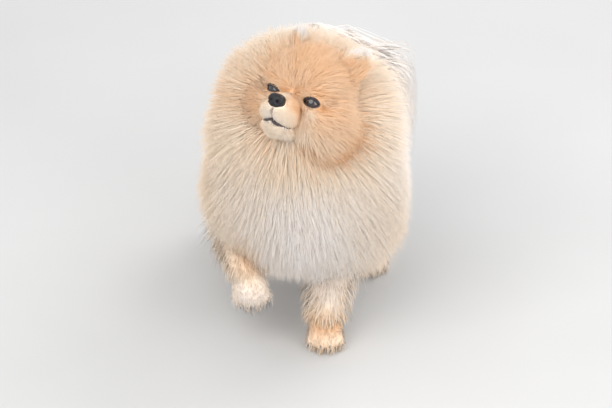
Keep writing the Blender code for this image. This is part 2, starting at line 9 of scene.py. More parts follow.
import bpy
import numpy as np
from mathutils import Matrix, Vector


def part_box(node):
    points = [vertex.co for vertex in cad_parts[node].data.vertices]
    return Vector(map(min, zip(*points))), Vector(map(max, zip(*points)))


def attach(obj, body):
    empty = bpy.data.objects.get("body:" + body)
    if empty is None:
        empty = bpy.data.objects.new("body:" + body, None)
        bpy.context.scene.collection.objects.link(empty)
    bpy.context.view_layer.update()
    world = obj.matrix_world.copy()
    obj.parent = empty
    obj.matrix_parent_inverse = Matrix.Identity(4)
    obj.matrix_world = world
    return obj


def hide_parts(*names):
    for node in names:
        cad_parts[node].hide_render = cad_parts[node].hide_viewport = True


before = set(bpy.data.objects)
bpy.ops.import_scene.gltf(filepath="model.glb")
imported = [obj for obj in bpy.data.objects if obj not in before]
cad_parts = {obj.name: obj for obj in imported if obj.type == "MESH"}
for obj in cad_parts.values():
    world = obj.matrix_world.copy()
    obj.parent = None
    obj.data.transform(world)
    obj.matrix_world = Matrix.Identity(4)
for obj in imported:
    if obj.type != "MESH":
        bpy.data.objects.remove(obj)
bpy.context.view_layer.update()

bl_info = {
    "name": "Pomeranian with a lifted forepaw",
    "version": (1, 0, 0),
    "blender": (4, 5, 0),
    "location": "View3D > Sidebar > Pomeranian",
    "description": "Builds a life-size pomeranian with its skin, eyes, nose, claws and coat",
    "category": "Add Mesh",
}

SEED = 7

# Hair further out than these, to the sides and behind, closes on a limit ROOM_CLOSING beyond them.
WIDTH_FREE = 0.094
BACK_FREE = 0.130
ROOM_CLOSING = 0.020

# Where the head is and how it is turned: the columns are its left, forward and up in the world.
EYE_MIDDLE = np.array((-0.009, -0.082, 0.274))
HEAD_YAW = math.radians(35)
HEAD_PITCH = math.radians(33)
_FORWARD = np.array(
    (
        -math.sin(HEAD_YAW) * math.cos(HEAD_PITCH),
        -math.cos(HEAD_YAW) * math.cos(HEAD_PITCH),
        math.sin(HEAD_PITCH),
    )
)
_LEFT = np.array((math.cos(HEAD_YAW), -math.sin(HEAD_YAW), 0.0))
HEAD_TURN = np.stack((_LEFT, _FORWARD, np.cross(_FORWARD, _LEFT)), axis=1)

# Balls as centre and radii. The skin lies inside the solid core by the depth of its undercoat.
UNDERCOAT = 0.004
# How softly balls blend, and how much the smooth maximum swells, which is taken off again.
TRUNK_BLEND, TRUNK_SWELL = 0.008, 0.003
SKULL_BLEND, SKULL_SWELL = 0.0026, 0.0008
PAW_BLEND = 0.0006
SKIN_VOXEL, SKIN_SMOOTHING = 0.0023, 6
TRUNK_MIDDLE = np.array((0.0, -0.010, 0.165))
TRUNK = (
    ((0.000, -0.036, 0.150), (0.074, 0.070, 0.076)),
    ((0.000, 0.010, 0.147), (0.066, 0.070, 0.060)),
    ((0.000, 0.052, 0.146), (0.062, 0.054, 0.058)),
    ((0.000, -0.032, 0.210), (0.066, 0.058, 0.052)),
    ((-0.002, -0.018, 0.238), (0.054, 0.040, 0.042)),
)
HEAD_MIDDLE = np.array((0.0, -0.018, -0.004))
SKULL = (
    ((0.000, -0.030, 0.008), (0.030, 0.032, 0.030)),
    ((0.013, -0.008, 0.010), (0.0112, 0.0092, 0.0082)),
    ((-0.013, -0.008, 0.010), (0.0112, 0.0092, 0.0082)),
    ((0.022, -0.022, -0.017), (0.0185, 0.0215, 0.0215)),
    ((-0.022, -0.022, -0.017), (0.0185, 0.0215, 0.0215)),
    ((0.000, 0.008, -0.013), (0.0130, 0.0165, 0.0112)),
    ((0.000, 0.016, -0.014), (0.0100, 0.0095, 0.0094)),
    ((0.008, 0.010, -0.019), (0.0086, 0.0126, 0.0086)),
    ((-0.008, 0.010, -0.019), (0.0086, 0.0126, 0.0086)),
    ((0.000, 0.002, -0.030), (0.0135, 0.0175, 0.0075)),
    ((0.000, 0.013, -0.030), (0.0076, 0.0076, 0.0066)),
)
FACE_MIDDLE = np.array((0.0, -0.026, 0.0))
MUZZLE_MIDDLE = np.array((0.0, 0.014, -0.016))
EYE_BOXES_MIDDLE = (0.0, -0.0085, 0.0)
EYE_HOLE_DEPTH = 0.0050
LIP_SWELL, LIP_GROOVE = 0.0007, 0.0016
NOSE_GROOVE = 0.0010
NOSE_PLACE = np.array((0.0, 0.0225, -0.008))
NOSE_HALF = np.array((0.0085, 0.0060, 0.0068))
EYE_PLACE = np.array((0.0197, -0.0083, -0.0004))
EYE_RADIUS = 0.0090
EYE_TURN_OUT = math.radians(19)
LID_HALF_WIDTH = 0.0072
LID_HALF_HEIGHTS = {1: 0.0042, -1: 0.0030}
LID_THICKNESS = 0.0011
LOWER_LID_HALF = (0.0055, 0.0016, 0.0080)
MOUTH_LINE = (
    (0.0250, -0.0085, -0.0318),
    (0.0185, 0.0010, -0.0306),
    (0.0120, 0.0092, -0.0296),
    (0.0085, 0.0200, -0.0318),
    (0.0000, 0.0260, -0.0305),
)
EAR_ROOT = (0.0225, -0.032, 0.024)
EAR_TIP = (0.0360, -0.0445, 0.0555)
EAR_HALF_WIDTH = 0.0125
EAR_CUP_DEPTH = 0.0050
EAR_THICKNESS = 0.0020
EAR_FACES = (0.55, 0.80, 0.0)

# Limbs: the place and radius at each station, from inside the body down to the foot.
LEGS = {
    "foreleg_left": (
        (0.034, -0.046, 0.128, 0.022),
        (0.035, -0.052, 0.098, 0.024),
        (0.028, -0.070, 0.062, 0.0205),
        (0.024, -0.080, 0.036, 0.0185),
        (0.023, -0.083, 0.018, 0.0170),
    ),
    "foreleg_right": (
        (-0.040, -0.040, 0.128, 0.020),
        (-0.060, -0.030, 0.100, 0.021),
        (-0.058, -0.056, 0.092, 0.0195),
        (-0.053, -0.078, 0.084, 0.0180),
        (-0.049, -0.086, 0.072, 0.0170),
    ),
    "hindleg_left": (
        (0.036, 0.046, 0.128, 0.034),
        (0.052, 0.028, 0.094, 0.030),
        (0.062, 0.056, 0.060, 0.021),
        (0.064, 0.064, 0.040, 0.0160),
        (0.064, 0.056, 0.018, 0.0155),
    ),
    "hindleg_right": (
        (-0.036, 0.062, 0.128, 0.034),
        (-0.052, 0.048, 0.094, 0.030),
        (-0.060, 0.082, 0.060, 0.021),
        (-0.062, 0.092, 0.040, 0.0160),
        (-0.062, 0.084, 0.018, 0.0155),
    ),
}
TAIL = (
    (0.003, 0.082, 0.172, 0.016),
    (0.004, 0.110, 0.196, 0.016),
    (0.008, 0.108, 0.222, 0.015),
    (0.020, 0.070, 0.238, 0.013),
    (0.036, 0.022, 0.238, 0.010),
)
# Paws: the middle, the way the toes point and the way the back of the foot faces.
PAWS = {
    "foreleg_left": ((0.023, -0.085, 0.013), (0.0, -1.0, 0.0), (0.0, 0.45, 1.0)),
    "foreleg_right": ((-0.048, -0.090, 0.066), (0.10, -0.25, -1.0), (0.0, -1.0, 0.0)),
    "hindleg_left": ((0.065, 0.047, 0.013), (0.15, -1.0, 0.0), (0.0, 0.45, 1.0)),
    "hindleg_right": ((-0.063, 0.075, 0.013), (-0.15, -1.0, 0.0), (0.0, 0.45, 1.0)),
}
PAW_HALF = (0.0160, 0.0175, 0.0130)
TOE_HALF = (0.0054, 0.0078, 0.0070)
TOES = ((-0.0125, 0.0100), (-0.0043, 0.0150), (0.0043, 0.0150), (0.0125, 0.0100))
TOE_LOW = -0.0045
TOE_PAD_HALF = (0.0042, 0.0052, 0.0034)
PALM_PAD_HALF = (0.0092, 0.0082, 0.0046)

# Markings: middle, half sizes, warmth from 0 for white to 1 for rust, and how strongly it counts.
HEAD_MARKS = (
    ((0.000, -0.030, 0.030), (0.060, 0.040, 0.034), 0.70, 1.0),
    ((0.038, -0.020, -0.010), (0.022, 0.030, 0.026), 0.58, 0.8),
    ((0.000, -0.010, -0.042), (0.040, 0.030, 0.016), 0.20, 0.9),
    ((0.000, 0.014, -0.018), (0.016, 0.014, 0.017), 0.02, 1.0),
    ((0.0245, -0.002, -0.0130), (0.007, 0.007, 0.0045), 0.20, 0.8),
    ((0.0082, 0.0095, -0.0045), (0.0048, 0.008, 0.0052), 0.70, 0.95),
    ((0.0132, 0.0080, -0.0105), (0.0046, 0.010, 0.0060), 0.72, 0.95),
    ((0.0140, 0.000, -0.0170), (0.0055, 0.010, 0.0080), 0.70, 0.95),
    ((0.0070, 0.0006, 0.0050), (0.0042, 0.007, 0.0060), 0.94, 0.95),
    ((0.0224, -0.004, 0.0115), (0.0065, 0.006, 0.0030), 0.92, 0.9),
    ((0.0270, -0.014, 0.0085), (0.0055, 0.010, 0.0036), 0.90, 0.85),
    ((0.0340, -0.013, -0.0040), (0.0065, 0.008, 0.0030), 0.90, 0.85),
    ((0.0395, -0.022, -0.0100), (0.0060, 0.011, 0.0042), 0.86, 0.75),
)
# The rust marks of head and mane and the body's marks are at places in the world.
DEEP_MARKS = (
    ((0.0490, -0.080, 0.232), (0.013, 0.020, 0.012), 1.00, 0.95),
    ((0.0335, -0.097, 0.221), (0.015, 0.020, 0.010), 0.98, 0.90),
    ((0.0046, -0.100, 0.227), (0.013, 0.016, 0.005), 0.88, 0.8),
    ((-0.034, -0.088, 0.236), (0.010, 0.016, 0.013), 0.78, 0.7),
    ((-0.048, -0.074, 0.260), (0.015, 0.022, 0.018), 0.72, 0.7),
    ((-0.070, -0.045, 0.246), (0.022, 0.024, 0.006), 0.76, 0.6),
)
BODY_MARKS = (
    ((0.000, -0.090, 0.130), (0.060, 0.070, 0.075), 0.05, 1.0),
    ((0.000, 0.030, 0.200), (0.075, 0.070, 0.040), 0.62, 0.9),
    ((-0.070, -0.010, 0.235), (0.050, 0.050, 0.045), 0.48, 0.8),
    ((0.060, -0.030, 0.240), (0.045, 0.045, 0.040), 0.45, 0.8),
    ((0.092, -0.020, 0.100), (0.026, 0.040, 0.034), 0.66, 0.9),
    ((0.092, 0.000, 0.195), (0.034, 0.055, 0.050), 0.03, 1.0),
    ((0.000, -0.110, 0.212), (0.070, 0.040, 0.022), 0.40, 0.85),
    ((-0.090, 0.000, 0.140), (0.030, 0.050, 0.040), 0.60, 0.7),
    ((-0.050, -0.075, 0.095), (0.012, 0.030, 0.026), 0.72, 0.8),
    ((-0.048, -0.095, 0.060), (0.022, 0.022, 0.018), 0.08, 0.9),
    ((0.023, -0.085, 0.024), (0.026, 0.030, 0.016), 0.58, 0.9),
    ((0.028, -0.092, 0.022), (0.012, 0.008, 0.004), 0.86, 0.7),
    ((0.000, 0.100, 0.120), (0.070, 0.040, 0.060), 0.16, 0.9),
    ((0.030, 0.095, 0.225), (0.080, 0.075, 0.045), 0.12, 1.0),
)


def unit(vectors):
    """Vectors turned to length one."""
    return vectors / np.maximum(np.linalg.norm(vectors, axis=-1, keepdims=True), 1e-12)


def ramp(values, low, high):
    """A smooth step from 0 at low to 1 at high."""
    share = np.clip((values - low) / (high - low), 0.0, 1.0)
    return share * share * (3.0 - 2.0 * share)


def flat_to(vectors, out):
    """The part of each vector that lies along the surface whose normal is out, at length one."""
    return unit(vectors - out * np.sum(vectors * out, axis=-1, keepdims=True))


def on_head(places, side=1):
    """World points of places on the head; side -1 mirrors them to the dog's right."""
    return EYE_MIDDLE + (np.asarray(places) * (side, 1, 1)) @ HEAD_TURN.T


def from_world(points):
    """Places on the head of world points: the turn of on_head undone."""
    return (points - EYE_MIDDLE) @ HEAD_TURN


def head_way(place, side=1):
    """A direction on the head as one in the world; side -1 mirrors it."""
    return unit((np.asarray(place) * (side, 1, 1)) @ HEAD_TURN.T)


def ear_way(places, way):
    """A direction of the ear that each place belongs to, in the world."""
    return np.where(places[:, :1] > 0, head_way(way, 1), head_way(way, -1))


def folded(places):
    """Places with the dog's right side folded over onto its left."""
    return np.concatenate((np.abs(places[..., :1]), places[..., 1:]), axis=-1)


def eye_box_middle():
    """The middle of the corners of both eyes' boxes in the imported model."""
    boxes = [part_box(node) for node in ("eye_left", "eye_right")]
    return np.mean([np.array(corner) for box in boxes for corner in box], axis=0)


SHIFT = eye_box_middle() - on_head(EYE_BOXES_MIDDLE)


# Surfaces


def shell(rings, first, last):
    """A closed form over rings of points, with a fan to one point at each end."""
    rows, cols = rings.shape[:2]
    ids = np.arange(rows * cols).reshape(rows, cols)
    ahead = np.roll(ids, -1, axis=1)
    quads = np.stack((ids[:-1], ahead[:-1], ahead[1:], ids[1:]), axis=-1).reshape(-1, 4)
    start, end = (np.full(cols, rows * cols + k) for k in (0, 1))
    tris = np.concatenate(
        (np.stack((ahead[0], ids[0], start), -1), np.stack((ids[-1], ahead[-1], end), -1))
    )
    return outward((np.concatenate((rings.reshape(-1, 3), (first, last))), quads, tris))


def hoop(rings):
    """A closed form over rings of points of which the last is joined to the first again."""
    rows, cols = rings.shape[:2]
    ids = np.arange(rows * cols).reshape(rows, cols)
    ahead, above = np.roll(ids, -1, axis=1), np.roll(ids, -1, axis=0)
    quads = np.stack((ids, ahead, np.roll(ahead, -1, axis=0), above), axis=-1).reshape(-1, 4)
    return outward((rings.reshape(-1, 3), quads, np.zeros((0, 3), int)))


def triangles(form):
    """All of a form's faces as triangles."""
    _, quads, tris = form
    return np.concatenate((quads[:, (0, 1, 2)], quads[:, (0, 2, 3)], tris))


def outward(form):
    """Turns the faces round if the volume that they enclose comes out below zero."""
    points, quads, tris = form
    a, b, c = (points[triangles(form)[:, k]] - points.mean(axis=0) for k in range(3))
    if np.sum(a * np.cross(b, c)) < 0.0:
        return points, quads[:, ::-1], tris[:, ::-1]
    return form


def join(forms):
    """One form that holds several, whose faces count on from the points before them."""
    starts = np.cumsum([0] + [len(form[0]) for form in forms[:-1]])
    return (
        np.concatenate([form[0] for form in forms]),
        np.concatenate([form[1] + start for form, start in zip(forms, starts)]),
        np.concatenate([form[2] + start for form, start in zip(forms, starts)]),
    )


def directions(rows, cols, front=1.0):
    """Unit vectors on a grid round the Y axis: rows go from +Y to -Y, closer together at +Y where
    front is above 1, and columns go round."""
    polar = math.pi * ((np.arange(rows) + 0.5) / rows)[:, None] ** front
    turn = 2 * math.pi * np.arange(cols)[None] / cols
    return np.stack(
        (np.sin(polar) * np.cos(turn), np.cos(polar) + 0 * turn, np.sin(polar) * np.sin(turn)), -1
    )


def exits(origin, ways, ball, grow=0.0):
    """How far along each way from the origin a ray leaves a ball: the larger root of the quadratic
    in the ball's own scale, or zero where it misses."""
    centre, radii = (np.asarray(values) for values in ball)
    scaled, start = ways / (radii + grow), (origin - centre) / (radii + grow)
    a = np.sum(scaled * scaled, axis=-1)
    b = np.sum(scaled * start, axis=-1)
    inside = b * b - a * (np.sum(start * start) - 1.0)
    return np.where(inside > 0, (np.sqrt(np.maximum(inside, 0)) - b) / a, 0.0).clip(0.0)


def soft_most(reaches, soft):
    """A smooth maximum: soft times the logarithm of the sum of exponentials of reach over soft."""
    most = np.max(reaches, axis=0)
    return most + soft * np.log(np.sum(np.exp((np.asarray(reaches) - most) / soft), axis=0))


def trunk_reach(ways):
    """How far the trunk's skin reaches along each way from its middle."""
    reaches = [exits(TRUNK_MIDDLE, ways, ball, -UNDERCOAT) for ball in TRUNK]
    return soft_most(reaches, TRUNK_BLEND) - TRUNK_SWELL


def skull_reach(ways):
    """How far the bare skull and muzzle reach along each way from the head's middle."""
    reaches = [exits(HEAD_MIDDLE, ways, ball) for ball in SKULL]
    return soft_most(reaches, SKULL_BLEND) - SKULL_SWELL


def star(middle, ways, reach, turn=None):
    """A closed form whose points lie at a reach along each way from its middle."""
    places = ways * reach[..., None]
    places = places @ turn.T if turn is not None else places
    rings = middle + places
    return shell(rings, rings[0].mean(axis=0), rings[-1].mean(axis=0))


def smooth_path(stations, steps):
    """Points on a Catmull-Rom curve through the stations, with steps to each stretch."""
    p = np.asarray(stations, float)
    p = np.concatenate(([2 * p[0] - p[1]], p, [2 * p[-1] - p[-2]]))
    t = (np.arange(steps) / steps)[None, :, None]
    a, b, c, d = (p[k : len(p) - 3 + k, None] for k in range(4))
    curve = 2 * b + (c - a) * t + (2 * a - 5 * b + 4 * c - d) * t**2
    curve = (curve + (3 * b - a - 3 * c + d) * t**3) / 2
    return np.concatenate((curve.reshape(-1, p.shape[1]), p[-2:-1]))


def tube(path, radii, aside, sides=16, flat=1.0, closed=False):
    """Rings round a path at right angles to it, from the side vector and its cross product."""
    ahead = np.roll(path, -1, 0) - np.roll(path, 1, 0) if closed else np.gradient(path, axis=0)
    ahead = unit(ahead)
    side = flat_to(np.broadcast_to(aside, path.shape), ahead)
    over = np.cross(ahead, side)
    turn = (2 * math.pi * np.arange(sides) / sides)[None, :, None]
    radii = np.broadcast_to(radii, len(path))[:, None, None]
    ring = side[:, None] * np.cos(turn) + flat * over[:, None] * np.sin(turn)
    return path[:, None] + radii * ring


def limb(stations):
    """A limb's skin: rings along its smooth path, closed by a point past each end."""
    path = smooth_path(stations, 8)
    spine, radii = path[:, :3], path[:, 3] - UNDERCOAT * 0.7
    rings = tube(spine, radii, (1.0, 0.0, 0.0), 24)
    ends = [spine[i] + unit(spine[i] - spine[j]) * radii[i] * 0.8 for i, j in ((0, 1), (-1, -2))]
    return shell(rings, *ends)


def paw_turn(name):
    """A paw's middle and its axes: sideways, the way the toes point, and up from the sole."""
    middle, toward, above = PAWS[name]
    forward = unit(np.array(toward))
    side = unit(np.cross(forward, above))
    return np.array(middle), np.stack((side, forward, np.cross(side, forward)), axis=1)


def paw(name):
    """A foot: the smooth reach of the palm's ball and the four toes' balls from its middle."""
    middle, turn = paw_turn(name)
    ways = directions(32, 48)
    balls = [((0, 0, 0), PAW_HALF)] + [((x, y, TOE_LOW), TOE_HALF) for x, y in TOES]
    reach = soft_most([exits(np.zeros(3), ways, ball) for ball in balls], PAW_BLEND)
    return star(middle, ways, reach, turn)


def remeshed(form, voxel, rounds):
    """One even closed surface round all of a form's shells."""
    obj = new_object("rough", form)
    remesh = obj.modifiers.new("even", "REMESH")
    remesh.mode = "VOXEL"
    remesh.voxel_size = voxel
    smooth = obj.modifiers.new("smooth", "SMOOTH")
    smooth.iterations = rounds
    graph = bpy.context.evaluated_depsgraph_get()
    mesh = bpy.data.meshes.new_from_object(obj.evaluated_get(graph))
    points = read(mesh.vertices, "co", 3)
    quads = read(mesh.loops, "vertex_index", 1, int).reshape(-1, 4)
    bpy.data.objects.remove(obj)
    bpy.data.meshes.remove(mesh)
    return points, quads, np.zeros((0, 3), int)


def read(values, key, width, kind=float):
    """One value of each part of a mesh, as an array with a row to each where it is wider."""
    out = np.empty(len(values) * width, np.int32 if kind is int else np.float32)
    values.foreach_get(key, out)
    out = out.astype(kind)
    return out.reshape(-1, width) if width > 1 else out


def new_object(name, form, values=None, shift=(0.0, 0.0, 0.0)):
    """A mesh object of a form, with its smooth faces and its values at each point."""
    points, quads, tris = form
    mesh = bpy.data.meshes.new(name)
    loops = np.concatenate((quads.ravel(), tris.ravel())).astype(np.int32)
    starts = np.concatenate(
        (4 * np.arange(len(quads)), 4 * len(quads) + 3 * np.arange(len(tris)))
    ).astype(np.int32)
    mesh.vertices.add(len(points))
    mesh.vertices.foreach_set("co", (points + shift).astype(np.float32).ravel())
    mesh.loops.add(len(loops))
    mesh.loops.foreach_set("vertex_index", loops)
    mesh.polygons.add(len(starts))
    mesh.polygons.foreach_set("loop_start", starts)
    mesh.update(calc_edges=True)
    mesh.shade_smooth()
    for key, value in (values or {}).items():
        layer = mesh.attributes.new(key, "FLOAT", "POINT")
        layer.data.foreach_set("value", np.ascontiguousarray(value, np.float32))
    obj = bpy.data.objects.new(name, mesh)
    bpy.context.scene.collection.objects.link(obj)
    return obj


def finished(name, form, material, values=None, replaces=()):
    """A finished piece of the dog: placed in the frame, riding on its one body."""
    obj = new_object(name, form, values, SHIFT)
    obj.data.materials.append(material)
    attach(obj, "root")
    if replaces:
        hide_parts(*replaces)
    return obj


def point_normals(points, tris):
    """Each point's normal: the sum of its faces' normals, longer for larger faces."""
    a, b, c = (points[tris[:, k]] for k in range(3))
    face = np.cross(b - a, c - a)
    total = np.stack(
        [np.bincount(tris.ravel(), np.repeat(face[:, k], 3), len(points)) for k in range(3)], -1
    )
    return unit(total)


# Markings


def marked(places, marks, base, mirror):
    """Warmth at each place: the base drawn towards each mark's value by a bell curve round it."""
    values = np.zeros(len(places)) + base
    spots = folded(places) if mirror else places
    for middle, half, value, strength in marks:
        share = strength * np.exp(-np.sum(((spots - middle) / half) ** 2, axis=1))
        values += (value - values) * share
    return values


def ripple(points, scale, seed):
    """Slow waves from -1 to 1 over the body: the mean of four sines along random directions."""
    rng = np.random.default_rng(seed)
    ways = rng.normal(size=(4, 3)) / scale
    phases = rng.uniform(0, 2 * math.pi, 4)
    return np.mean(np.sin(points @ ways.T + phases), axis=1)


def warmth(points, on_face):
    """How warm the coat is at each point, on the head or on the body, blended between them."""
    places = from_world(points)
    head = marked(places, HEAD_MARKS, 0.45, True)
    body = marked(points, BODY_MARKS, 0.26, False)
    near = 1.0 - ramp(np.linalg.norm(places - FACE_MIDDLE, axis=1), 0.046, 0.078)
    share = np.maximum(near, on_face)
    blend = marked(points, DEEP_MARKS, body + (head - body) * share, False)
    return np.clip(blend + 0.06 * ripple(points, 0.012, 3), 0.0, 1.0)


def tuft_warmth(points, spread, on_face, rng):
    """Warmth of tufts, looked up at points moved a little at random, so that colours fade across
    a border, and varied a little more from tuft to tuft."""
    found = warmth(points + rng.normal(0.0, spread, points.shape), on_face)
    return np.clip(found + rng.normal(0, TUFT_TINT, len(points)), 0, 1)


# The head


def line_distance(places, line):
    """The distance to the nearest stretch of a line, with right folded onto left."""
    spots = folded(places)
    line = smooth_path(line, 6)
    nearest = np.full(spots.shape[:-1], 1.0)
    for a, b in zip(line[:-1], line[1:]):
        share = np.clip((spots - a) @ (b - a) / np.sum((b - a) ** 2), 0, 1)[..., None]
        nearest = np.minimum(nearest, np.linalg.norm(spots - a - (b - a) * share, axis=-1))
    return nearest


def eye_axes(side):
    """The eye's own axes on the head: towards the nose, up, and ahead, where it looks."""
    ahead = np.array((math.sin(EYE_TURN_OUT) * side, math.cos(EYE_TURN_OUT), 0.0))
    up = np.array((0.0, 0.0, 1.0))
    return np.stack((np.cross(up, ahead) * side, up, ahead), axis=1)


def eye_spots(places, side):
    """Places on the head in one eye's own axes, from its middle."""
    return (places - EYE_PLACE * (side, 1, 1)) @ eye_axes(side)


def opening(places):
    """How far each place is from the middle of the nearer eye's opening, where 1 is its edge."""
    shares = []
    for side in (1, -1):
        spots = eye_spots(places, side)
        share = np.hypot(spots[..., 0] / LID_HALF_WIDTH, spots[..., 1] / LID_HALF_HEIGHTS[side])
        shares.append(np.where(spots[..., 2] > 0.0, share, 9.0))
    return np.minimum(*shares)


def head_reach(ways):
    """The skull's and muzzle's smooth reach, evened out, with the lids' mounds, the openings of
    the eyes, the groove between the lips and the one under the nose."""
    reach = skull_reach(ways)
    for _ in range(6):
        rows = np.concatenate((reach[:1], reach, reach[-1:]))
        around = np.roll(reach, 1, 1) + np.roll(reach, -1, 1)
        reach = (2 * reach + around + rows[:-2] + rows[2:]) / 6
    for side in (1, -1):
        mound = (EYE_PLACE * (side, 1, 1), np.full(3, EYE_RADIUS + 0.0012))
        reach = soft_most([reach, exits(HEAD_MIDDLE, ways, mound)], 0.0009)
    places = HEAD_MIDDLE + ways * reach[..., None]
    reach -= EYE_HOLE_DEPTH * (1.0 - ramp(opening(places), 0.80, 1.02))
    gap = line_distance(places, MOUTH_LINE)
    reach += LIP_SWELL * np.exp(-(((gap - 0.0022) / 0.0012) ** 2))
    reach -= LIP_GROOVE * np.exp(-((gap / 0.0009) ** 2))
    low = ramp(places[..., 1], 0.012, 0.020) * ramp(-places[..., 2], 0.012, 0.015)
    low = low * (1.0 - ramp(-places[..., 2], 0.024, 0.026))
    reach -= NOSE_GROOVE * low * np.exp(-((places[..., 0] / 0.0008) ** 2))
    return reach


def head_form():
    """The head: a star of points at head_reach from its middle, closer together at the muzzle."""
    ways = directions(196, 216, 1.25)
    return star(EYE_MIDDLE + HEAD_TURN @ HEAD_MIDDLE, ways, head_reach(ways), HEAD_TURN)


def ear_form(side):
    """A cupped leaf: across it the wall follows a parabola, along it the half width falls to the
    tip as the root of one minus the share to the power 2.4."""
    root, tip = on_head(EAR_ROOT, side), on_head(EAR_TIP, side)
    along = unit(tip - root)
    faces = flat_to(head_way(EAR_FACES, side), along)
    across = np.cross(along, faces)
    t = np.linspace(0.0, 1.0, 34)[:, None, None]
    s = np.linspace(-1.0, 1.0, 21)[None, :, None]
    half = EAR_HALF_WIDTH * np.sqrt(np.maximum(1.0 - t**2.4, 0.004))
    spots = root + along * t * np.linalg.norm(tip - root) + across * half * s
    spots = spots + faces * EAR_CUP_DEPTH * (1.0 - 0.6 * t) * s * s
    wall = EAR_THICKNESS * (1.0 - 0.5 * t) / 2 * np.sqrt(1.02 - s**4)
    rings = np.concatenate((spots - faces * wall, (spots + faces * wall)[:, ::-1]), axis=1)
    return shell(rings, rings[0].mean(axis=0), rings[-1].mean(axis=0))


def near_dark(places):
    """Bare dark skin: the lips, round the eyes and beneath the nose."""
    lips = np.exp(-((line_distance(places, MOUTH_LINE) / 0.0016) ** 2))
    lids = 1.0 - ramp(opening(places), 1.05, 1.32)
    for side in (1, -1):
        below = eye_spots(places, side) - (0.0, -1.35 * LID_HALF_HEIGHTS[side], EYE_RADIUS)
        lids = np.maximum(lids, 0.5 * np.exp(-np.sum((below / LOWER_LID_HALF) ** 2, axis=-1)))
    under_nose = (places - (0.0, 0.0245, -0.0190)) / (0.0019, 0.006, 0.0058)
    groove = np.exp(-(under_nose**2).sum(axis=-1))
    return np.clip(np.maximum(np.maximum(lips, lids), groove * 0.8), 0.0, 1.0)


def skin_forms():
    """The skin in three shells: body with legs, paws and tail, then the head, then the ears."""
    ways = directions(72, 96)
    forms = [star(TRUNK_MIDDLE, ways, trunk_reach(ways))]
    forms += [limb(stations) for stations in (*LEGS.values(), TAIL)]
    forms += [paw(name) for name in PAWS]
    body = remeshed(join(forms), SKIN_VOXEL, SKIN_SMOOTHING)
    body[0][:, 2] = np.maximum(body[0][:, 2], 0.0)
    return body, head_form(), join([ear_form(1), ear_form(-1)])


# Finishes

BLACK, WHITE = (0.0, 0.0, 0.0), (1.0, 1.0, 1.0)


def new_material(name, rough, gloss=None):
    """A material and its shader, with the roughness and the other values of its sockets."""
    material = bpy.data.materials.new(name)
    material.use_nodes = True
    shader = material.node_tree.nodes["Principled BSDF"]
    for socket, value in {"Roughness": rough, **(gloss or {})}.items():
        shader.inputs[socket].default_value = value
    return material, shader


def node(material, kind, **settings):
    """A new node of a material, with its settings."""
    made = material.node_tree.nodes.new(kind)
    for key, value in settings.items():
        setattr(made, key, value)
    return made


def wire(material, start, end):
    material.node_tree.links.new(start, end)


def colours(material, factor, stops):
    """A colour ramp over a factor."""
    made = node(material, "ShaderNodeValToRGB")
    elements = made.color_ramp.elements
    for place, _ in stops[2:]:
        elements.new(place)
    for element, (place, colour) in zip(elements, sorted(stops)):
        element.position = place
        element.color = (*colour, 1.0)
    wire(material, factor, made.inputs["Fac"])
    return made.outputs["Color"]


def value_of(material, name):
    """The value that a mesh holds at each point under a name."""
    return node(material, "ShaderNodeAttribute", attribute_name=name).outputs["Fac"]


def mixed(material, how, factor, one, two):
    """Two colours mixed; the factor is a number or an output."""
    made = node(material, "ShaderNodeMix", data_type="RGBA", blend_type=how)
    if isinstance(factor, float):
        made.inputs["Factor"].default_value = factor
    else:
        wire(material, factor, made.inputs["Factor"])
    for socket, colour in ((made.inputs[6], one), (made.inputs[7], two)):
        if isinstance(colour, tuple):
            socket.default_value = (*colour, 1.0)
        else:
            wire(material, colour, socket)
    return made.outputs[2]


def noise(material, scale, detail=3.0):
    """Soft noise on the object's own coordinates."""
    place = node(material, "ShaderNodeTexCoord")
    made = node(material, "ShaderNodeTexNoise")
    made.inputs["Scale"].default_value = scale
    made.inputs["Detail"].default_value = detail
    wire(material, place.outputs["Object"], made.inputs["Vector"])
    return made.outputs["Fac"]


def bump(material, shader, height, strength, distance):
    """Fine relief of a surface, from a height."""
    made = node(material, "ShaderNodeBump")
    made.inputs["Strength"].default_value = strength
    made.inputs["Distance"].default_value = distance
    wire(material, height, made.inputs["Height"])
    wire(material, made.outputs["Normal"], shader.inputs["Normal"])


def coat_stops(tones):
    """The coat's colours by warmth, from white to rust."""
    hues = (tones.white, tones.cream, tones.apricot, tones.rust)
    return tuple((place, tuple(hue)) for place, hue in zip((0.0, 0.30, 0.66, 1.0), hues))


def coat_material(tones):
    """Hair: its colour from the markings, darkened towards each tuft's root as painted shade, and
    made a little lighter or darker from tuft to tuft by its shade value, which is low on the legs
    as painted shade."""
    gloss = {"Specular IOR Level": 0.25, "Sheen Weight": 0.12, "Sheen Roughness": 0.5}
    material, shader = new_material("coat_hair", 0.62, gloss)
    hue = colours(material, value_of(material, "warmth"), coat_stops(tones))
    # Painted shade: the colour falls off towards each tuft's root, where the coat shades itself.
    depth = colours(
        material,
        value_of(material, "along"),
        ((0.0, (0.95, 0.90, 0.86)), (0.45, (1.0, 0.99, 0.98)), (1.0, WHITE)),
    )
    shade = colours(
        material, value_of(material, "shade"), ((0.0, (0.74, 0.70, 0.66)), (1.0, WHITE))
    )
    hue = mixed(material, "MULTIPLY", 1.0, hue, depth)
    hue = mixed(material, "MULTIPLY", 1.0, hue, shade)
    wire(material, hue, shader.inputs["Base Color"])
    return material


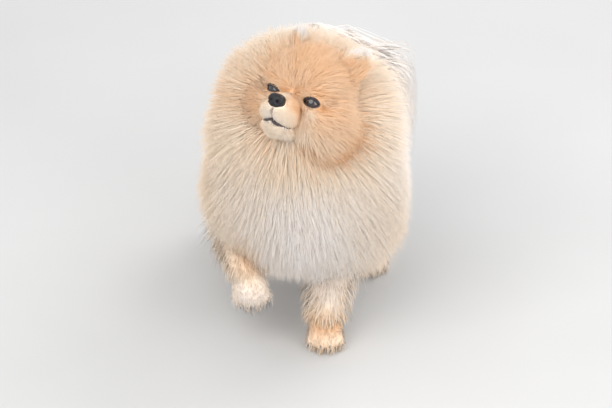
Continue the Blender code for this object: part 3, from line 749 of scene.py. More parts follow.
def skin_material(tones):
    """Skin under the coat in the same markings, dark where it is bare, and finely pebbled."""
    material, shader = new_material("skin", 0.6, {"Specular IOR Level": 0.35})
    hue = colours(material, value_of(material, "warmth"), coat_stops(tones))
    hue = mixed(material, "MULTIPLY", 1.0, hue, (0.96, 0.91, 0.87))
    hue = mixed(material, "MIX", value_of(material, "pink"), hue, tuple(tones.pink))
    hue = mixed(material, "MIX", value_of(material, "bare"), hue, tuple(tones.lip))
    wire(material, hue, shader.inputs["Base Color"])
    bump(material, shader, noise(material, 900.0), 0.5, 0.0004)
    return material


def dark_material(name, hues, rough, scale, depth, gloss=None):
    """Leather or horn: pebbles of a voronoi pattern, mottled between two colours."""
    material, shader = new_material(name, rough, gloss)
    place = node(material, "ShaderNodeTexCoord")
    cells = node(material, "ShaderNodeTexVoronoi")
    cells.inputs["Scale"].default_value = scale
    wire(material, place.outputs["Object"], cells.inputs["Vector"])
    hue = colours(material, noise(material, scale * 0.35), ((0.35, hues[0]), (0.7, hues[1])))
    wire(material, hue, shader.inputs["Base Color"])
    bump(material, shader, cells.outputs["Distance"], 0.6, depth)
    return material


def eye_material(tones):
    """An eyeball by its angle from where it looks: pupil, brown iris, dark rim, dull white."""
    material, shader = new_material("eye", 0.12, {"Coat Weight": 1.0, "Coat Roughness": 0.02})
    streaks = noise(material, 1400.0, 2.0)
    brown = tuple(tones.iris)
    light = tuple(channel * 2.2 for channel in tones.iris)
    iris = colours(material, streaks, ((0.3, brown), (0.75, light)))
    ring = colours(
        material,
        value_of(material, "ring"),
        ((0.0, BLACK), (0.30, BLACK), (0.36, WHITE), (0.66, (0.8, 0.8, 0.8)), (0.80, BLACK)),
    )
    hue = mixed(material, "MULTIPLY", 1.0, iris, ring)
    white = colours(material, value_of(material, "ring"), ((0.84, BLACK), (1.0, WHITE)))
    hue = mixed(material, "MIX", white, hue, (0.07, 0.05, 0.045))
    wire(material, hue, shader.inputs["Base Color"])
    return material


# The coat

ROOT_DEPTH = 0.0010
TUFT_FLATNESS = 0.55
TUFT_TINT = 0.03
FINE_TUFT = 0.00055
BAKE_PATCH = 0.003
# The head's hair within FACE_REACH of the muzzle's middle is the face. The trunk's above MANE_LOW
# is the mane, and the rest is parted by its angle from the front, seen from above.
FACE_REACH = 0.040
MANE_LOW = 0.205
CHEST_TURN, RUMP_TURN = 0.95, 2.35
THROAT_MIDDLE = (-0.008, -0.085, 0.20)


def scatter(points, tris, normals, count, weights, rng):
    """Roots spread over triangles by their area times a weight, and the normals there."""
    a, b, c = (points[tris[:, k]] for k in range(3))
    area = np.linalg.norm(np.cross(b - a, c - a), axis=1) * weights
    total = np.cumsum(area) / area.sum()
    picks = np.searchsorted(total, (np.arange(count) + rng.random(count)) / count)
    picks = np.minimum(picks, len(tris) - 1)
    u, v = rng.random((2, count, 1))
    over = u + v > 1.0
    u, v = np.where(over, 1 - u, u), np.where(over, 1 - v, v)
    roots = a[picks] + (b[picks] - a[picks]) * u + (c[picks] - a[picks]) * v
    n = [normals[tris[picks, k]] for k in range(3)]
    return roots, unit(n[0] * (1 - u - v) + n[1] * u + n[2] * v)


def skin_part(part):
    """Points, triangles and normals of one part of the finished skin, in the maker's frame."""
    if "skin" not in bpy.data.objects:
        raise RuntimeError("The coat grows from the skin, which isn't there")
    mesh = bpy.data.objects["skin"].data
    mesh.calc_loop_triangles()
    points = read(mesh.vertices, "co", 3) - SHIFT
    parts = read(mesh.attributes["part"].data, "value", 1)
    tris = read(mesh.loop_triangles, "vertices", 3, int)
    tris = tris[np.abs(parts[tris[:, 0]] - part) < 0.5]
    return points, tris, point_normals(points, tris)


def gathered(roots, tips, size, pull, rng):
    """Tips drawn towards the mean tip of their neighbours, which share a cell of this size once
    each root is shifted a little at random."""
    cells = np.floor((roots + rng.normal(0.0, size * 0.22, roots.shape)) / size).astype(np.int64)
    keys = cells @ np.array((1, 4001, 16008001))
    _, group = np.unique(keys, return_inverse=True)
    group = group.ravel()
    counts = np.bincount(group)
    mean = np.stack([np.bincount(group, tips[:, k]) / counts for k in range(3)], -1)
    return (mean[group] - tips) * pull


def hair(roots, out, lie, length, lean, width, stations, rng, droop, clump):
    """Tapered three-sided tufts. Along each the angle from the normal grows evenly from lean's
    first to its second value, so height is the integral of its cosine and run that of its sine;
    droop pulls it down by the square of the share, and clump, a size and a pull, gathers the tips
    into locks. It gives the rings and the tips."""
    count = len(roots)
    t = np.array(stations)[None, :, None]
    first, last = (np.broadcast_to(angle, count)[:, None, None] for angle in lean)
    span = last - first
    long = np.broadcast_to(length, count)[:, None, None]
    height = (np.sin(first + span * t) - np.sin(first)) / span
    run = (np.cos(first) - np.cos(first + span * t)) / span
    path = roots[:, None] + long * (out[:, None] * height + lie[:, None] * run)
    path = path - long * np.broadcast_to(droop, count)[:, None, None] * t**2 * (0.0, 0.0, 1.0)
    path = path + gathered(roots, path[:, -1], clump[0], clump[1], rng)[:, None] * t**1.5
    path = path - out[:, None] * np.minimum(ROOT_DEPTH, 0.12 * long)
    ahead = unit(np.gradient(path, axis=1))
    side = unit(np.cross(ahead, out[:, None] + 0.01))
    over = np.cross(side, ahead)
    wide = np.broadcast_to(width, count)[:, None, None, None] / 2
    wide = wide * (1.0 - 0.25 * t - 0.45 * t**3)[..., None]
    turns = (2 * math.pi * np.arange(3) / 3 + math.pi / 2)[None, None, :, None]
    path[..., 0] = held(path[..., 0], WIDTH_FREE)
    path[..., 1] = np.where(path[..., 1] > 0, held(path[..., 1], BACK_FREE), path[..., 1])
    rings = path[:, :-1, None] + wide[:, :-1] * (
        side[:, :-1, None] * np.cos(turns) + TUFT_FLATNESS * over[:, :-1, None] * np.sin(turns)
    )
    return rings, path[:, -1]


def held(places, free):
    """Places kept within the room beside the solid core: past the free distance they close on a
    limit that lies a little further out, by an exponential."""
    beyond = np.maximum(np.abs(places) - free, 0.0)
    kept = free + ROOM_CLOSING * (1.0 - np.exp(-beyond / ROOM_CLOSING))
    return np.where(beyond > 0, np.sign(places) * kept, places)


def soft_normals(mesh, out, rows, soft):
    """Normals for tufts that lean towards the coat's own, so that it is lit as one soft mass: the
    tuft's normal plus soft times the skin's at its root."""
    own = read(mesh.vertex_normals, "vector", 3)
    blended = unit(own + soft * np.repeat(out, rows * 3 + 1, axis=0))
    layer = mesh.attributes.new("custom_normal", "FLOAT_VECTOR", "POINT")
    layer.data.foreach_set("vector", blended.astype(np.float32).ravel())


def hair_form(rings, tips):
    """The faces of many tufts: quads between rings, a face at the root and three at the tip."""
    count, rows = rings.shape[:2]
    size = rows * 3 + 1
    points = np.concatenate((rings.reshape(count, -1, 3), tips[:, None]), axis=1).reshape(-1, 3)
    low = np.arange(rows - 1)[:, None] * 3 + np.arange(3)[None]
    ahead = np.arange(rows - 1)[:, None] * 3 + np.array((1, 2, 0))[None]
    quads = np.stack((ahead, low, low + 3, ahead + 3), -1).reshape(-1, 4)
    top, tip = (rows - 1) * 3, size - 1
    tris = np.array([(top + 1, top, tip), (top + 2, top + 1, tip), (top, top + 2, tip), (0, 1, 2)])
    starts = np.arange(count)[:, None, None] * size
    return points, (quads[None] + starts).reshape(-1, 4), (tris[None] + starts).reshape(-1, 3)


def bake_map(mesh, unwrap, stations):
    """The UV map OFBake: each tuft is a small patch at its root's place on the unwrap, with the
    share along the tuft up the patch and its three sides across it."""
    rows = len(stations) - 1
    low = np.array(stations)[: rows - 1, None, None] + np.zeros((1, 3, 1))
    high = np.array(stations)[1:rows, None, None] + np.zeros((1, 3, 1))
    left = np.arange(3)[None, :, None] / 3 + np.zeros((rows - 1, 1, 1))
    right = left + 1 / 3
    pairs = ((right, low), (left, low), (left, high), (right, high))
    corners = [np.concatenate(pair, -1) for pair in pairs]
    quads = np.stack(corners, axis=2).reshape(-1, 2)
    top = stations[rows - 1]
    tips = [((k + 1) / 3, k / 3, (k + 0.5) / 3) for k in range(3)]
    root = ((0, 0), (0.5, 0.02), (1, 0))
    tris = np.array([((a, top), (b, top), (c, 1.0)) for a, b, c in tips] + [root])
    local = [np.clip(part.reshape(-1, 2), 0, 1) * BAKE_PATCH for part in (quads, tris)]
    span = np.ptp(unwrap, axis=0)
    place = 0.005 + 0.987 * (unwrap - unwrap.min(axis=0)) / np.maximum(span, 1e-6)
    uv = [(place[:, None] + part[None]).reshape(-1, 2) for part in local]
    layer = mesh.uv_layers.new(name="OFBake")
    layer.uv.foreach_set("vector", np.concatenate(uv).astype(np.float32).ravel())


def coat_piece(name, made, out, unwrap, warm, stations, rng, soft, shades=(0.72, 1.0)):
    """One piece of the coat from its tufts' rings and tips, lit by out as far as soft says."""
    rings, tips = made
    form = hair_form(rings, tips)
    size = (len(stations) - 1) * 3 + 1
    along = np.concatenate((np.repeat(stations[:-1], 3), (1.0,)))
    values = {
        "warmth": np.repeat(warm, size),
        "along": np.tile(along, len(tips)),
        "shade": np.repeat(rng.uniform(*shades, len(tips)), size),
    }
    obj = finished(name, form, bpy.data.materials["coat_hair"], values)
    bake_map(obj.data, unwrap, stations)
    soft_normals(obj.data, out, len(stations) - 1, soft)
    return obj


def coat_lie(points, out):
    """The way hair lies: away from the nose and a little down, along the surface."""
    way = unit(points - on_head(NOSE_PLACE)) + np.array((0.0, 0.0, -0.35))
    return flat_to(way, out)


def strayed(lie, out, points, slow, quick, rng):
    """The lie turned about the normal, by slow waves over the body and a little at random."""
    angle = slow * ripple(points, 0.010, 11) + rng.normal(0.0, quick, len(points))
    angle = angle[:, None]
    return lie * np.cos(angle) + np.cross(out, lie) * np.sin(angle)


def varied(values, spread, rng):
    """Values made up to spread smaller or half of it larger, at random."""
    return values * rng.uniform(1.0 - spread, 1.0 + spread * 0.5, len(values))


def tilts(least, spread, count, rng):
    """Angles between least and least plus spread, given in degrees, as radians."""
    return np.radians(least + spread * rng.random(count))


def trunk_depth(points):
    """How far each point lies outside the trunk's own surface."""
    away = points - TRUNK_MIDDLE
    return np.linalg.norm(away, axis=1) - trunk_reach(unit(away))


def in_head(points, margin):
    """Whether each point lies inside one of the head's balls, made smaller by a margin."""
    places = from_world(points)
    inside = [np.sum(((places - c) / (np.array(r) - margin)) ** 2, axis=1) < 1.0 for c, r in SKULL]
    return np.any(inside, axis=0)


def limb_place(points, stations):
    """Where each point is on a limb: its distance from the skin, its share along the limb, the
    way down the limb there and the nearest point of its middle line."""
    path = smooth_path(stations, 8)
    away = np.linalg.norm(points[:, None] - path[None, :, :3], axis=2) - path[None, :, 3]
    nearest = np.argmin(away, axis=1)
    ahead = unit(np.gradient(path[:, :3], axis=0))
    off = away[np.arange(len(points)), nearest]
    return off, nearest / (len(path) - 1), ahead[nearest], path[nearest, :3]


def round_angle(points, middle, ahead):
    """The angle of each point round a limb, as a share of a full turn."""
    side = flat_to(np.broadcast_to((1.0, 0.0, 0.0), points.shape), ahead)
    away = points - middle
    over = np.cross(ahead, side)
    return np.arctan2(np.sum(away * over, 1), np.sum(away * side, 1)) / (2 * math.pi) + 0.5


def thinned(count):
    return int(count * (1.0))


# Shares along a tuft at which it has a ring, up to its tip.
SHORT_TUFT = (0.0, 0.5, 1.0)
LONG_TUFT = (0.0, 0.34, 0.68, 1.0)
# A piece of so many short tufts stays under 200,000 triangles.
MOST_TUFTS = 19800


def grow_trunk_coat(sizes):
    """The long coat of the chest, mane, flanks and rump."""
    rng = np.random.default_rng(SEED)
    points, tris, normals = skin_part(0)
    middle = points[tris].mean(axis=1)
    bare = (trunk_depth(middle) > 0.0030) | in_head(middle, 0.004)
    dense = 1.0 + 0.30 * ramp(middle[:, 2], 0.15, 0.22) + 0.55 * ramp(-middle[:, 1], -0.01, 0.05)
    from_throat = np.sum(((middle - THROAT_MIDDLE) / 0.030) ** 2, axis=1)
    weights = np.where(bare, 0.0, dense + 1.2 * np.exp(-from_throat))
    roots, flesh = scatter(points, tris, normals, thinned(sizes.trunk_tufts), weights, rng)
    count = len(roots)
    round_out = unit(roots - TRUNK_MIDDLE)
    out = unit(flesh + 0.9 * round_out)
    lie = strayed(coat_lie(roots, out), out, roots, 0.26, 0.18, rng)
    front = ramp(-roots[:, 1], -0.02, 0.06)
    belly = ramp(-flesh[:, 2], 0.35, 0.9) * ramp(-roots[:, 2], -0.13, -0.10)
    length = sizes.back_length + (sizes.chest_length - sizes.back_length) * np.maximum(
        front, ramp(roots[:, 1], 0.05, 0.10)
    )
    length = length * (1.0 - 0.42 * belly)
    length = length * (
        1.0 + 0.40 * ramp(roots[:, 0], 0.02, 0.055) * ramp(roots[:, 2], 0.09, 0.12)
    )
    length = varied(length * (1.0 + 0.10 * ripple(roots, 0.014, 5)), 0.24, rng)
    lean = (tilts(14, 18, count, rng), tilts(62, 26, count, rng))
    width = sizes.tuft_width * rng.uniform(0.75, 1.15, count)
    made = hair(roots, out, lie, length, lean, width, SHORT_TUFT, rng, 0.08, (0.0055, 0.10))
    away = roots - TRUNK_MIDDLE
    turn = np.arctan2(away[:, 0], -away[:, 1])
    height = np.arcsin(unit(away)[:, 2])
    warm = tuft_warmth(roots + 0.65 * (made[1] - roots), 0.006, 0.0, rng)
    facing = unit(0.4 * out + round_out)
    high = roots[:, 2] > MANE_LOW
    areas = {
        "mane": high,
        "chest": ~high & (np.abs(turn) < CHEST_TURN),
        "flank_left": ~high & (turn >= CHEST_TURN) & (turn < RUMP_TURN),
        "flank_right": ~high & (turn <= -CHEST_TURN) & (turn > -RUMP_TURN),
        "rump": ~high & (np.abs(turn) >= RUMP_TURN),
    }
    for name, inside in areas.items():
        ids = np.flatnonzero(inside)
        shares = math.ceil(len(ids) / MOST_TUFTS)
        # The rump's unwrap runs on past half a turn, so that it isn't cut in two.
        across = np.where(turn < 0, turn + 2 * math.pi, turn) if name == "rump" else turn
        for k in range(shares):
            part = ids[k::shares]
            coat_piece(
                f"coat_{name}_{k + 1}",
                (made[0][part], made[1][part]),
                facing[part],
                np.stack((across[part], height[part]), axis=1),
                warm[part],
                SHORT_TUFT,
                rng,
                4.5,
            )


def short_of_eyes(roots, lie, length):
    """Lengths cut down where a hair laid flat would reach over the opening of an eye."""
    for share in (1.0, 0.75, 0.5, 0.3):
        over = opening(from_world(roots + lie * (length * share)[:, None])) < 1.25
        length = np.where(over, length * share * 0.75, length)
    return length


def grow_head_coat(sizes):
    """Short hair on the muzzle and round the eyes, longer on the cheeks and crown."""
    points, tris, normals = skin_part(1)
    middle = from_world(points[tris].mean(axis=1))
    near = np.linalg.norm(middle - MUZZLE_MIDDLE, axis=1)
    nose = np.sum(((middle - NOSE_PLACE) / (NOSE_HALF + 0.0008)) ** 2, axis=1) < 1.0
    bare = nose | (near_dark(middle) > 0.30) | (opening(middle) < 1.10)
    deep = trunk_depth(points[tris].mean(axis=1)) < -0.010
    for name, low, high, tufts, clump in (
        ("face", 0.0, FACE_REACH, sizes.face_tufts, (0.0026, 0.2)),
        ("crown", FACE_REACH, 0.2, sizes.crown_tufts, (0.006, 0.22)),
    ):
        rng = np.random.default_rng(SEED + len(name))
        weights = np.where(bare | deep | (near < low) | (near >= high), 0.0, 1.0)
        weights = weights * (1.0 + 2.0 * (1.0 - ramp(near, 0.012, 0.034)))
        roots, out = scatter(points, tris, normals, thinned(tufts), weights, rng)
        places, count = from_world(roots), len(roots)
        away = np.linalg.norm(places - MUZZLE_MIDDLE, axis=1)
        eyes = ramp(opening(places), 1.1, 2.6)
        # From 5.8 mm on the muzzle to 13 mm on the face, and on to the crown's own length.
        length = 0.0058 + 0.0072 * ramp(away, 0.013, 0.025)
        sideways = ramp(np.abs(places[:, 0]), 0.012, 0.028)
        lower = 1.0 - ramp(places[:, 2], -0.012, 0.010)
        cheek = 1.0 + (0.45 * sideways - 0.35 * (1.0 - sideways)) * lower
        length = length + (sizes.crown_length * cheek - 0.0130) * ramp(away, 0.026, 0.046)
        length = length * (0.50 + 0.50 * np.maximum(eyes, ramp(away, 0.045, 0.055)))
        by_mane = 1.0 - ramp(trunk_depth(roots), -0.004, 0.022)
        length = length + 0.018 * by_mane * ramp(away, 0.034, 0.052)
        length = varied(length, 0.25, rng)
        lie = strayed(coat_lie(roots, out), out, roots, 0.25, 0.22, rng)
        rise = ramp(away, 0.024, 0.050)
        ahead = ramp(out @ HEAD_TURN[:, 1], 0.3, 0.9)
        lean = (
            np.radians(34 - 12 * rise + 16 * ahead * rise + rng.normal(0, 7, count)),
            np.radians(74 + rng.normal(0, 6, count)),
        )
        width = FINE_TUFT + (sizes.tuft_width - FINE_TUFT) * ramp(away, 0.02, 0.05)
        width = width * rng.uniform(0.8, 1.2, count)
        length = short_of_eyes(roots, lie, length)
        made = hair(roots, out, lie, length, lean, width, SHORT_TUFT, rng, 0.02, clump)
        ways = unit(places - HEAD_MIDDLE)
        polar = np.arccos(np.clip(ways[:, 1], -1, 1))
        turn = np.arctan2(ways[:, 2], ways[:, 0])
        unwrap = np.stack((polar * np.cos(turn), polar * np.sin(turn)), axis=1)
        warm = tuft_warmth(roots + 0.6 * (made[1] - roots), 0.0015, 1.0, rng)
        facing = unit(out + ways @ HEAD_TURN.T)
        coat_piece("coat_" + name, made, facing, unwrap, warm, SHORT_TUFT, rng, 2.6)


def grow_leg_coat(sizes):
    """Short hair down the legs, feathered behind, and shorter still on the paws, darkened all over
    as painted shade.
    """
    rng = np.random.default_rng(SEED + 5)
    points, tris, normals = skin_part(0)
    middle = points[tris].mean(axis=1)
    tail = limb_place(middle, TAIL)[0] < 0.002
    bare = (trunk_depth(middle) < -0.001) | tail | (middle[:, 2] < 0.0008)
    paws = np.min([np.linalg.norm(middle - PAWS[name][0], axis=1) for name in PAWS], axis=0)
    weights = np.where(bare, 0.0, 1.0 + 1.2 * (paws < 0.026))
    roots, out = scatter(points, tris, normals, thinned(sizes.leg_tufts), weights, rng)
    count = len(roots)
    found = [limb_place(roots, stations) for stations in LEGS.values()]
    leg = np.argmin([f[0] for f in found], axis=0)
    share, down, spine = (np.stack([f[k] for f in found])[leg, np.arange(count)] for k in (1, 2, 3))
    feet = [paw_turn(name) for name in LEGS]
    foot = np.stack([f[0] for f in feet])[leg]
    toes = np.stack([f[1][:, 1] for f in feet])[leg]
    on_paw = 1.0 - ramp(np.linalg.norm(roots - foot, axis=1), 0.017, 0.027)
    way = down * (1.0 - on_paw[:, None]) + toes * on_paw[:, None] + out * 0.001
    lie = strayed(flat_to(way, out), out, roots, 0.30, 0.16, rng)
    behind = ramp(out[:, 1], 0.1, 0.8) * (1.0 - on_paw)
    length = 0.021 - 0.0125 * on_paw + 0.016 * behind
    length = length * (1.0 - 0.25 * ramp(share, 0.4, 0.9))
    length = varied(length, 0.25, rng)
    lean = (
        np.radians(26 + 8 * on_paw + rng.normal(0, 6, count)),
        np.radians(76 + rng.normal(0, 5, count)),
    )
    width = (0.00100 - 0.00020 * on_paw) * rng.uniform(0.8, 1.2, count)
    made = hair(roots, out, lie, length, lean, width, SHORT_TUFT, rng, 0.05, (0.004, 0.15))
    made[0][..., 2] = np.maximum(made[0][..., 2], 0.0004)
    made[1][:, 2] = np.maximum(made[1][:, 2], 0.0006)
    turn = round_angle(roots, spine, down)
    # Each leg has its own quarter of the unwrap.
    unwrap = np.stack((turn * 0.9 + leg % 2, share * 0.8 + on_paw * 0.15 + leg // 2), axis=1)
    warm = tuft_warmth(roots, 0.003, 0.0, rng)
    facing = unit(out + (0.0, -0.35, 0.45))
    # Painted shade: the legs' tufts take low shade values, so the coat is darker down the legs.
    coat_piece("coat_legs", made, facing, unwrap, warm, SHORT_TUFT, rng, 2.4, (0.0, 0.35))


def grow_tail_coat(sizes):
    """The plume: long hair fanned from the tail to both sides of a parting, longest to the dog's
    left, where it falls over the flank."""
    rng = np.random.default_rng(SEED + 6)
    points, tris, normals = skin_part(0)
    middle = points[tris].mean(axis=1)
    off, share, _, _ = limb_place(middle, TAIL)
    weights = np.where((off < 0.002) & (share > 0.12) & (trunk_depth(middle) > 0.001), 1.0, 0.0)
    roots, out = scatter(points, tris, normals, thinned(sizes.tail_tufts), weights, rng)
    count = len(roots)
    _, share, ahead, spine = limb_place(roots, TAIL)
    side = flat_to(np.broadcast_to((0.95, -0.12, -0.05), roots.shape), ahead)
    leftward = np.sum(out * side, axis=1)
    reach = np.clip((leftward + 0.25 + rng.normal(0, 0.12, count)) / 0.45, -0.7, 1.0)
    central = 1.0 - np.abs(reach) / np.where(reach > 0, 1.0, 0.7)
    behind = ramp(out[:, 1], -0.1, 0.6) * (1.0 - ramp(share, 0.5, 0.75))
    down = 0.30 * (1.0 + 1.9 * (1.0 - share))
    parting = ramp(central, 0.1, 0.7)
    along = side * reach[:, None] + ahead * (rng.uniform(0.05, 0.45, count) * share)[:, None]
    along = along - np.outer(down * rng.uniform(0.4, 1.3, count), (0, 0, 1))
    over = ahead + side * rng.normal(0.0, 0.6, (count, 1))
    along = unit(unit(along) * (1.0 - parting)[:, None] + unit(over) * parting[:, None])
    along = unit(along + rng.normal(0.0, 0.16, roots.shape))
    loose = ((1.0 - parting) * (0.35 + 0.4 * behind))[:, None]
    out = unit(out * (1.0 - 0.6 * (behind * (1.0 - parting))[:, None]) + along * loose)
    along = unit(along + 0.001 - out * 0.55 * np.sum(along * out, axis=1, keepdims=True))
    length = sizes.plume_length * (0.62 + 0.38 * np.sin(math.pi * np.minimum(share * 1.1, 1.0)))
    length = length * np.where(reach > 0, 1.0, 0.45) * (1.0 - 0.62 * behind)
    length = varied(length * (1.0 - 0.74 * parting), 0.26, rng)
    lean = (tilts(50, 15, count, rng), tilts(88, 12, count, rng))
    width = sizes.tuft_width * 1.35 * rng.uniform(0.8, 1.2, count)
    droop = 0.42 * share + 0.08
    made = hair(roots, out, along, length, lean, width, LONG_TUFT, rng, droop, (0.007, 0.18))
    unwrap = np.stack((round_angle(roots, spine, ahead), share), 1)
    warm = np.clip(0.10 + 0.08 * ripple(roots, 0.01, 8) + rng.normal(0, 0.05, count), 0, 1)
    facing = unit(made[1] - TRUNK_MIDDLE + (0.0, -0.08, 0.03))
    coat_piece("coat_plume", made, facing, unwrap, warm, LONG_TUFT, rng, 1.8)


def grow_ear_coat(sizes):
    """Soft short hair on the ears, a little thinner inside them."""
    rng = np.random.default_rng(SEED + 9)
    points, tris, normals = skin_part(2)
    even = np.ones(len(tris))
    roots, out = scatter(points, tris, normals, thinned(sizes.ear_tufts), even, rng)
    places = from_world(roots)
    upward = ear_way(places, np.subtract(EAR_TIP, EAR_ROOT))
    inner = ramp(np.sum(out * ear_way(places, EAR_FACES), axis=1), 0.1, 0.6)
    keep = rng.random(len(roots)) > inner * 0.2
    roots, out, places, inner, upward = (v[keep] for v in (roots, out, places, inner, upward))
    count = len(roots)
    lie = strayed(flat_to(upward, out), out, roots, 0.3, 0.25, rng)
    height = places[:, 2]
    length = varied(0.017 - 0.006 * ramp(height, 0.035, 0.055), 0.3, rng)
    lean = (tilts(35, 18, count, rng), tilts(74, 14, count, rng))
    made = hair(roots, out, lie, length, lean, 0.00060, SHORT_TUFT, rng, 0.0, (0.003, 0.2))
    share = ramp(height, 0.038, 0.054)
    warm = np.clip(0.60 * (1.0 - share) + 0.04 * share + rng.normal(0, 0.05, count), 0, 1)
    unwrap = np.stack((places[:, 0] + 0.03 * inner, places[:, 2]), axis=1)
    facing = unit((places - HEAD_MIDDLE + (0.0, 0.09, 0.0)) @ HEAD_TURN.T)
    coat_piece("coat_ears", made, facing, unwrap, warm, SHORT_TUFT, rng, 2.0)


# Eyes, nose, mouth and claws


def eye_form(side):
    """A ball with a cornea that swells by a bell curve of the angle from where it looks."""
    ways = directions(72, 64)
    angle = np.arccos(np.clip(ways[..., 1], -1, 1))
    reach = EYE_RADIUS * (1.0 + 0.045 * np.exp(-((angle / 0.55) ** 4)))
    turn = HEAD_TURN @ eye_axes(side)[:, (0, 2, 1)]
    form = star(on_head(EYE_PLACE, side), ways, reach, turn)
    return form, np.concatenate((angle.ravel(), (0.0, math.pi)))


def lid_form(side):
    """The rim of the lids: a tube along an almond on a ball just larger than the eye, thicker
    above, and drawn out and down at the corner by the nose."""
    turn = 2 * math.pi * np.arange(72) / 72
    x, y = LID_HALF_WIDTH * np.cos(turn), LID_HALF_HEIGHTS[side] * np.sin(turn)
    inner = ramp(np.cos(turn), 0.6, 1.0)
    y = y * (1.0 - 0.35 * np.abs(np.cos(turn)) ** 3) - 0.0012 * inner
    x = x + 0.0011 * inner
    ball = EYE_RADIUS + 0.0004
    z = np.sqrt(np.maximum(ball**2 - x**2 - y**2, 0.0)) - 0.0006 * inner
    path = np.stack((x, y, z), axis=1)
    upper = ramp(np.sin(turn), -0.2, 0.7)
    thick = LID_THICKNESS * (0.72 + 0.75 * upper)
    rings = tube(path, thick, (0.0, 0.0, 1.0), 14, 0.85, closed=True)
    return hoop(on_head((rings @ eye_axes(side).T) + EYE_PLACE * (side, 1, 1)))


def nose_form():
    """The leather: a squarish ball pressed in at two comma-shaped nostrils and a middle groove."""
    ways = directions(84, 96)
    power = 2.6
    reach = np.sum(np.abs(ways / NOSE_HALF) ** power, axis=-1) ** (-1 / power)
    places = ways * reach[..., None]
    l, f, u = np.abs(places[..., 0]), places[..., 1], places[..., 2]
    front = ramp(f, 0.0, 0.003)
    hole = np.exp(-(((l - 0.0040) / 0.0017) ** 2 + ((u + 0.0004) / 0.0016) ** 2))
    slit = np.exp(-((u + 0.0012 + 0.22 * (l - 0.004)) / 0.0007) ** 2) * ramp(l, 0.0038, 0.0052)
    groove = np.exp(-((l / 0.0006) ** 2)) * ramp(-u, -0.001, 0.003)
    reach = reach - front * (0.0026 * hole + 0.0012 * slit + 0.0006 * groove)
    reach = reach * (1.0 - 0.16 * ramp(-u, 0.002, 0.0068) * ramp(l, 0.002, 0.008))
    return star(on_head(NOSE_PLACE), ways, reach, HEAD_TURN)


def lips_form():
    """The lips: a tube along the mouth, pinched by a dark groove on its outer side."""
    half = smooth_path(MOUTH_LINE, 10)
    line = np.concatenate((half, half[-2::-1] * (-1, 1, 1)))
    away = unit(line - HEAD_MIDDLE)
    line = HEAD_MIDDLE + away * (skull_reach(away) + 0.0002)[:, None]
    count = len(line)
    ahead = unit(np.gradient(line, axis=0))
    side = flat_to(away, ahead)
    over = np.cross(ahead, side)
    turn = (2 * math.pi * np.arange(20) / 20)[None, :, None]
    ends = np.minimum(np.arange(count), count - 1 - np.arange(count)) / 8
    radii = (0.0015 + 0.0010 * ramp(ends, 1.0, 5.0)) * np.minimum(0.35 + 0.65 * ends, 1.0)
    radii = radii[:, None, None]
    pinch = 1.0 - 0.42 * np.exp(-((np.minimum(turn, 2 * math.pi - turn) / 0.38) ** 2))
    ring = side[:, None] * np.cos(turn) + over[:, None] * np.sin(turn)
    return shell(on_head(line[:, None] + radii * pinch * ring), on_head(line[0]), on_head(line[-1]))


def claw_form(name, across, ahead):
    """A claw: a tapered tube along an arc that bends down past the toe."""
    middle, turn = paw_turn(name)
    t = np.linspace(0.0, 1.0, 10)[:, None]
    start = np.array((across * 1.08, ahead + TOE_HALF[1] * 0.55, TOE_LOW + 0.0004))
    path = start + t * (across * 0.06, 0.0056, 0.0) + t**2 * (0.0, 0.0, -0.0018)
    rings = tube(path, 0.0014 * (1.0 - 0.82 * t[:, 0] ** 1.5), (1.0, 0.0, 0.0), 10, 1.15)
    points, quads, tris = shell(rings, path[0], path[-1] + (path[-1] - path[-2]) * 0.3)
    points = middle + points @ turn.T
    points[:, 2] = np.maximum(points[:, 2], 0.0003)
    return points, quads, tris


def pad_form(name, place, half):
    """A pad under a paw: a ball of three half sizes, flat on the floor."""
    middle, turn = paw_turn(name)
    ways = directions(14, 20)
    reach = np.sum((ways / half) ** 2, axis=-1) ** -0.5
    points, quads, tris = star(middle + turn @ np.array(place), ways, reach, turn)
    points[:, 2] = np.maximum(points[:, 2], 0.0)
    return points, quads, tris


# Settings, operators and panel


def length_of(name, description, default):
    return bpy.props.FloatProperty(
        name=name, description=description, default=default, unit="LENGTH"
    )


def number_of(name, description, default):
    return bpy.props.IntProperty(name=name, description=description, default=default)


class CoatSettings(bpy.types.PropertyGroup):
    chest_length: length_of("Chest hair", "Length of the hair on chest, mane and rump", 0.043)
    back_length: length_of("Back hair", "Length of the hair on back and flanks", 0.036)
    crown_length: length_of("Crown hair", "Length of the hair on crown and cheeks", 0.025)
    plume_length: length_of("Plume hair", "Length of the longest hair of the tail", 0.118)
    tuft_width: length_of("Tuft width", "Width of a long tuft at its root", 0.00072)
    trunk_tufts: number_of("Body tufts", "Tufts on neck and body", 77000)
    face_tufts: number_of("Face tufts", "Tufts on the face", 17000)
    crown_tufts: number_of("Crown tufts", "Tufts on the crown and cheeks", 18500)
    leg_tufts: number_of("Leg tufts", "Tufts on legs and paws", 14000)
    tail_tufts: number_of("Plume tufts", "Tufts on the tail", 11000)
    ear_tufts: number_of("Ear tufts", "Tufts on the ears", 5200)


def tone(name, description, default):
    return bpy.props.FloatVectorProperty(
        name=name,
        description=description,
        default=default,
        subtype="COLOR",
        size=3,
        min=0.0,
        max=1.0,
    )


class CoatColours(bpy.types.PropertyGroup):
    white: tone("White", "Colour of the muzzle, chest, plume and ear tips", (0.97, 0.93, 0.91))
    cream: tone("Cream", "Colour of the legs and ruff", (0.95, 0.77, 0.59))
    apricot: tone("Apricot", "Colour of the crown and back", (0.90, 0.53, 0.29))
    rust: tone("Rust", "Colour of the deepest marks", (0.70, 0.29, 0.11))
    pink: tone("Inner ear", "Colour of the bare skin in the ears", (0.62, 0.36, 0.30))
    lip: tone("Bare skin", "Colour of the lips and the rims of the eyes", (0.030, 0.022, 0.022))
    iris: tone("Iris", "Colour of the iris", (0.030, 0.011, 0.004))


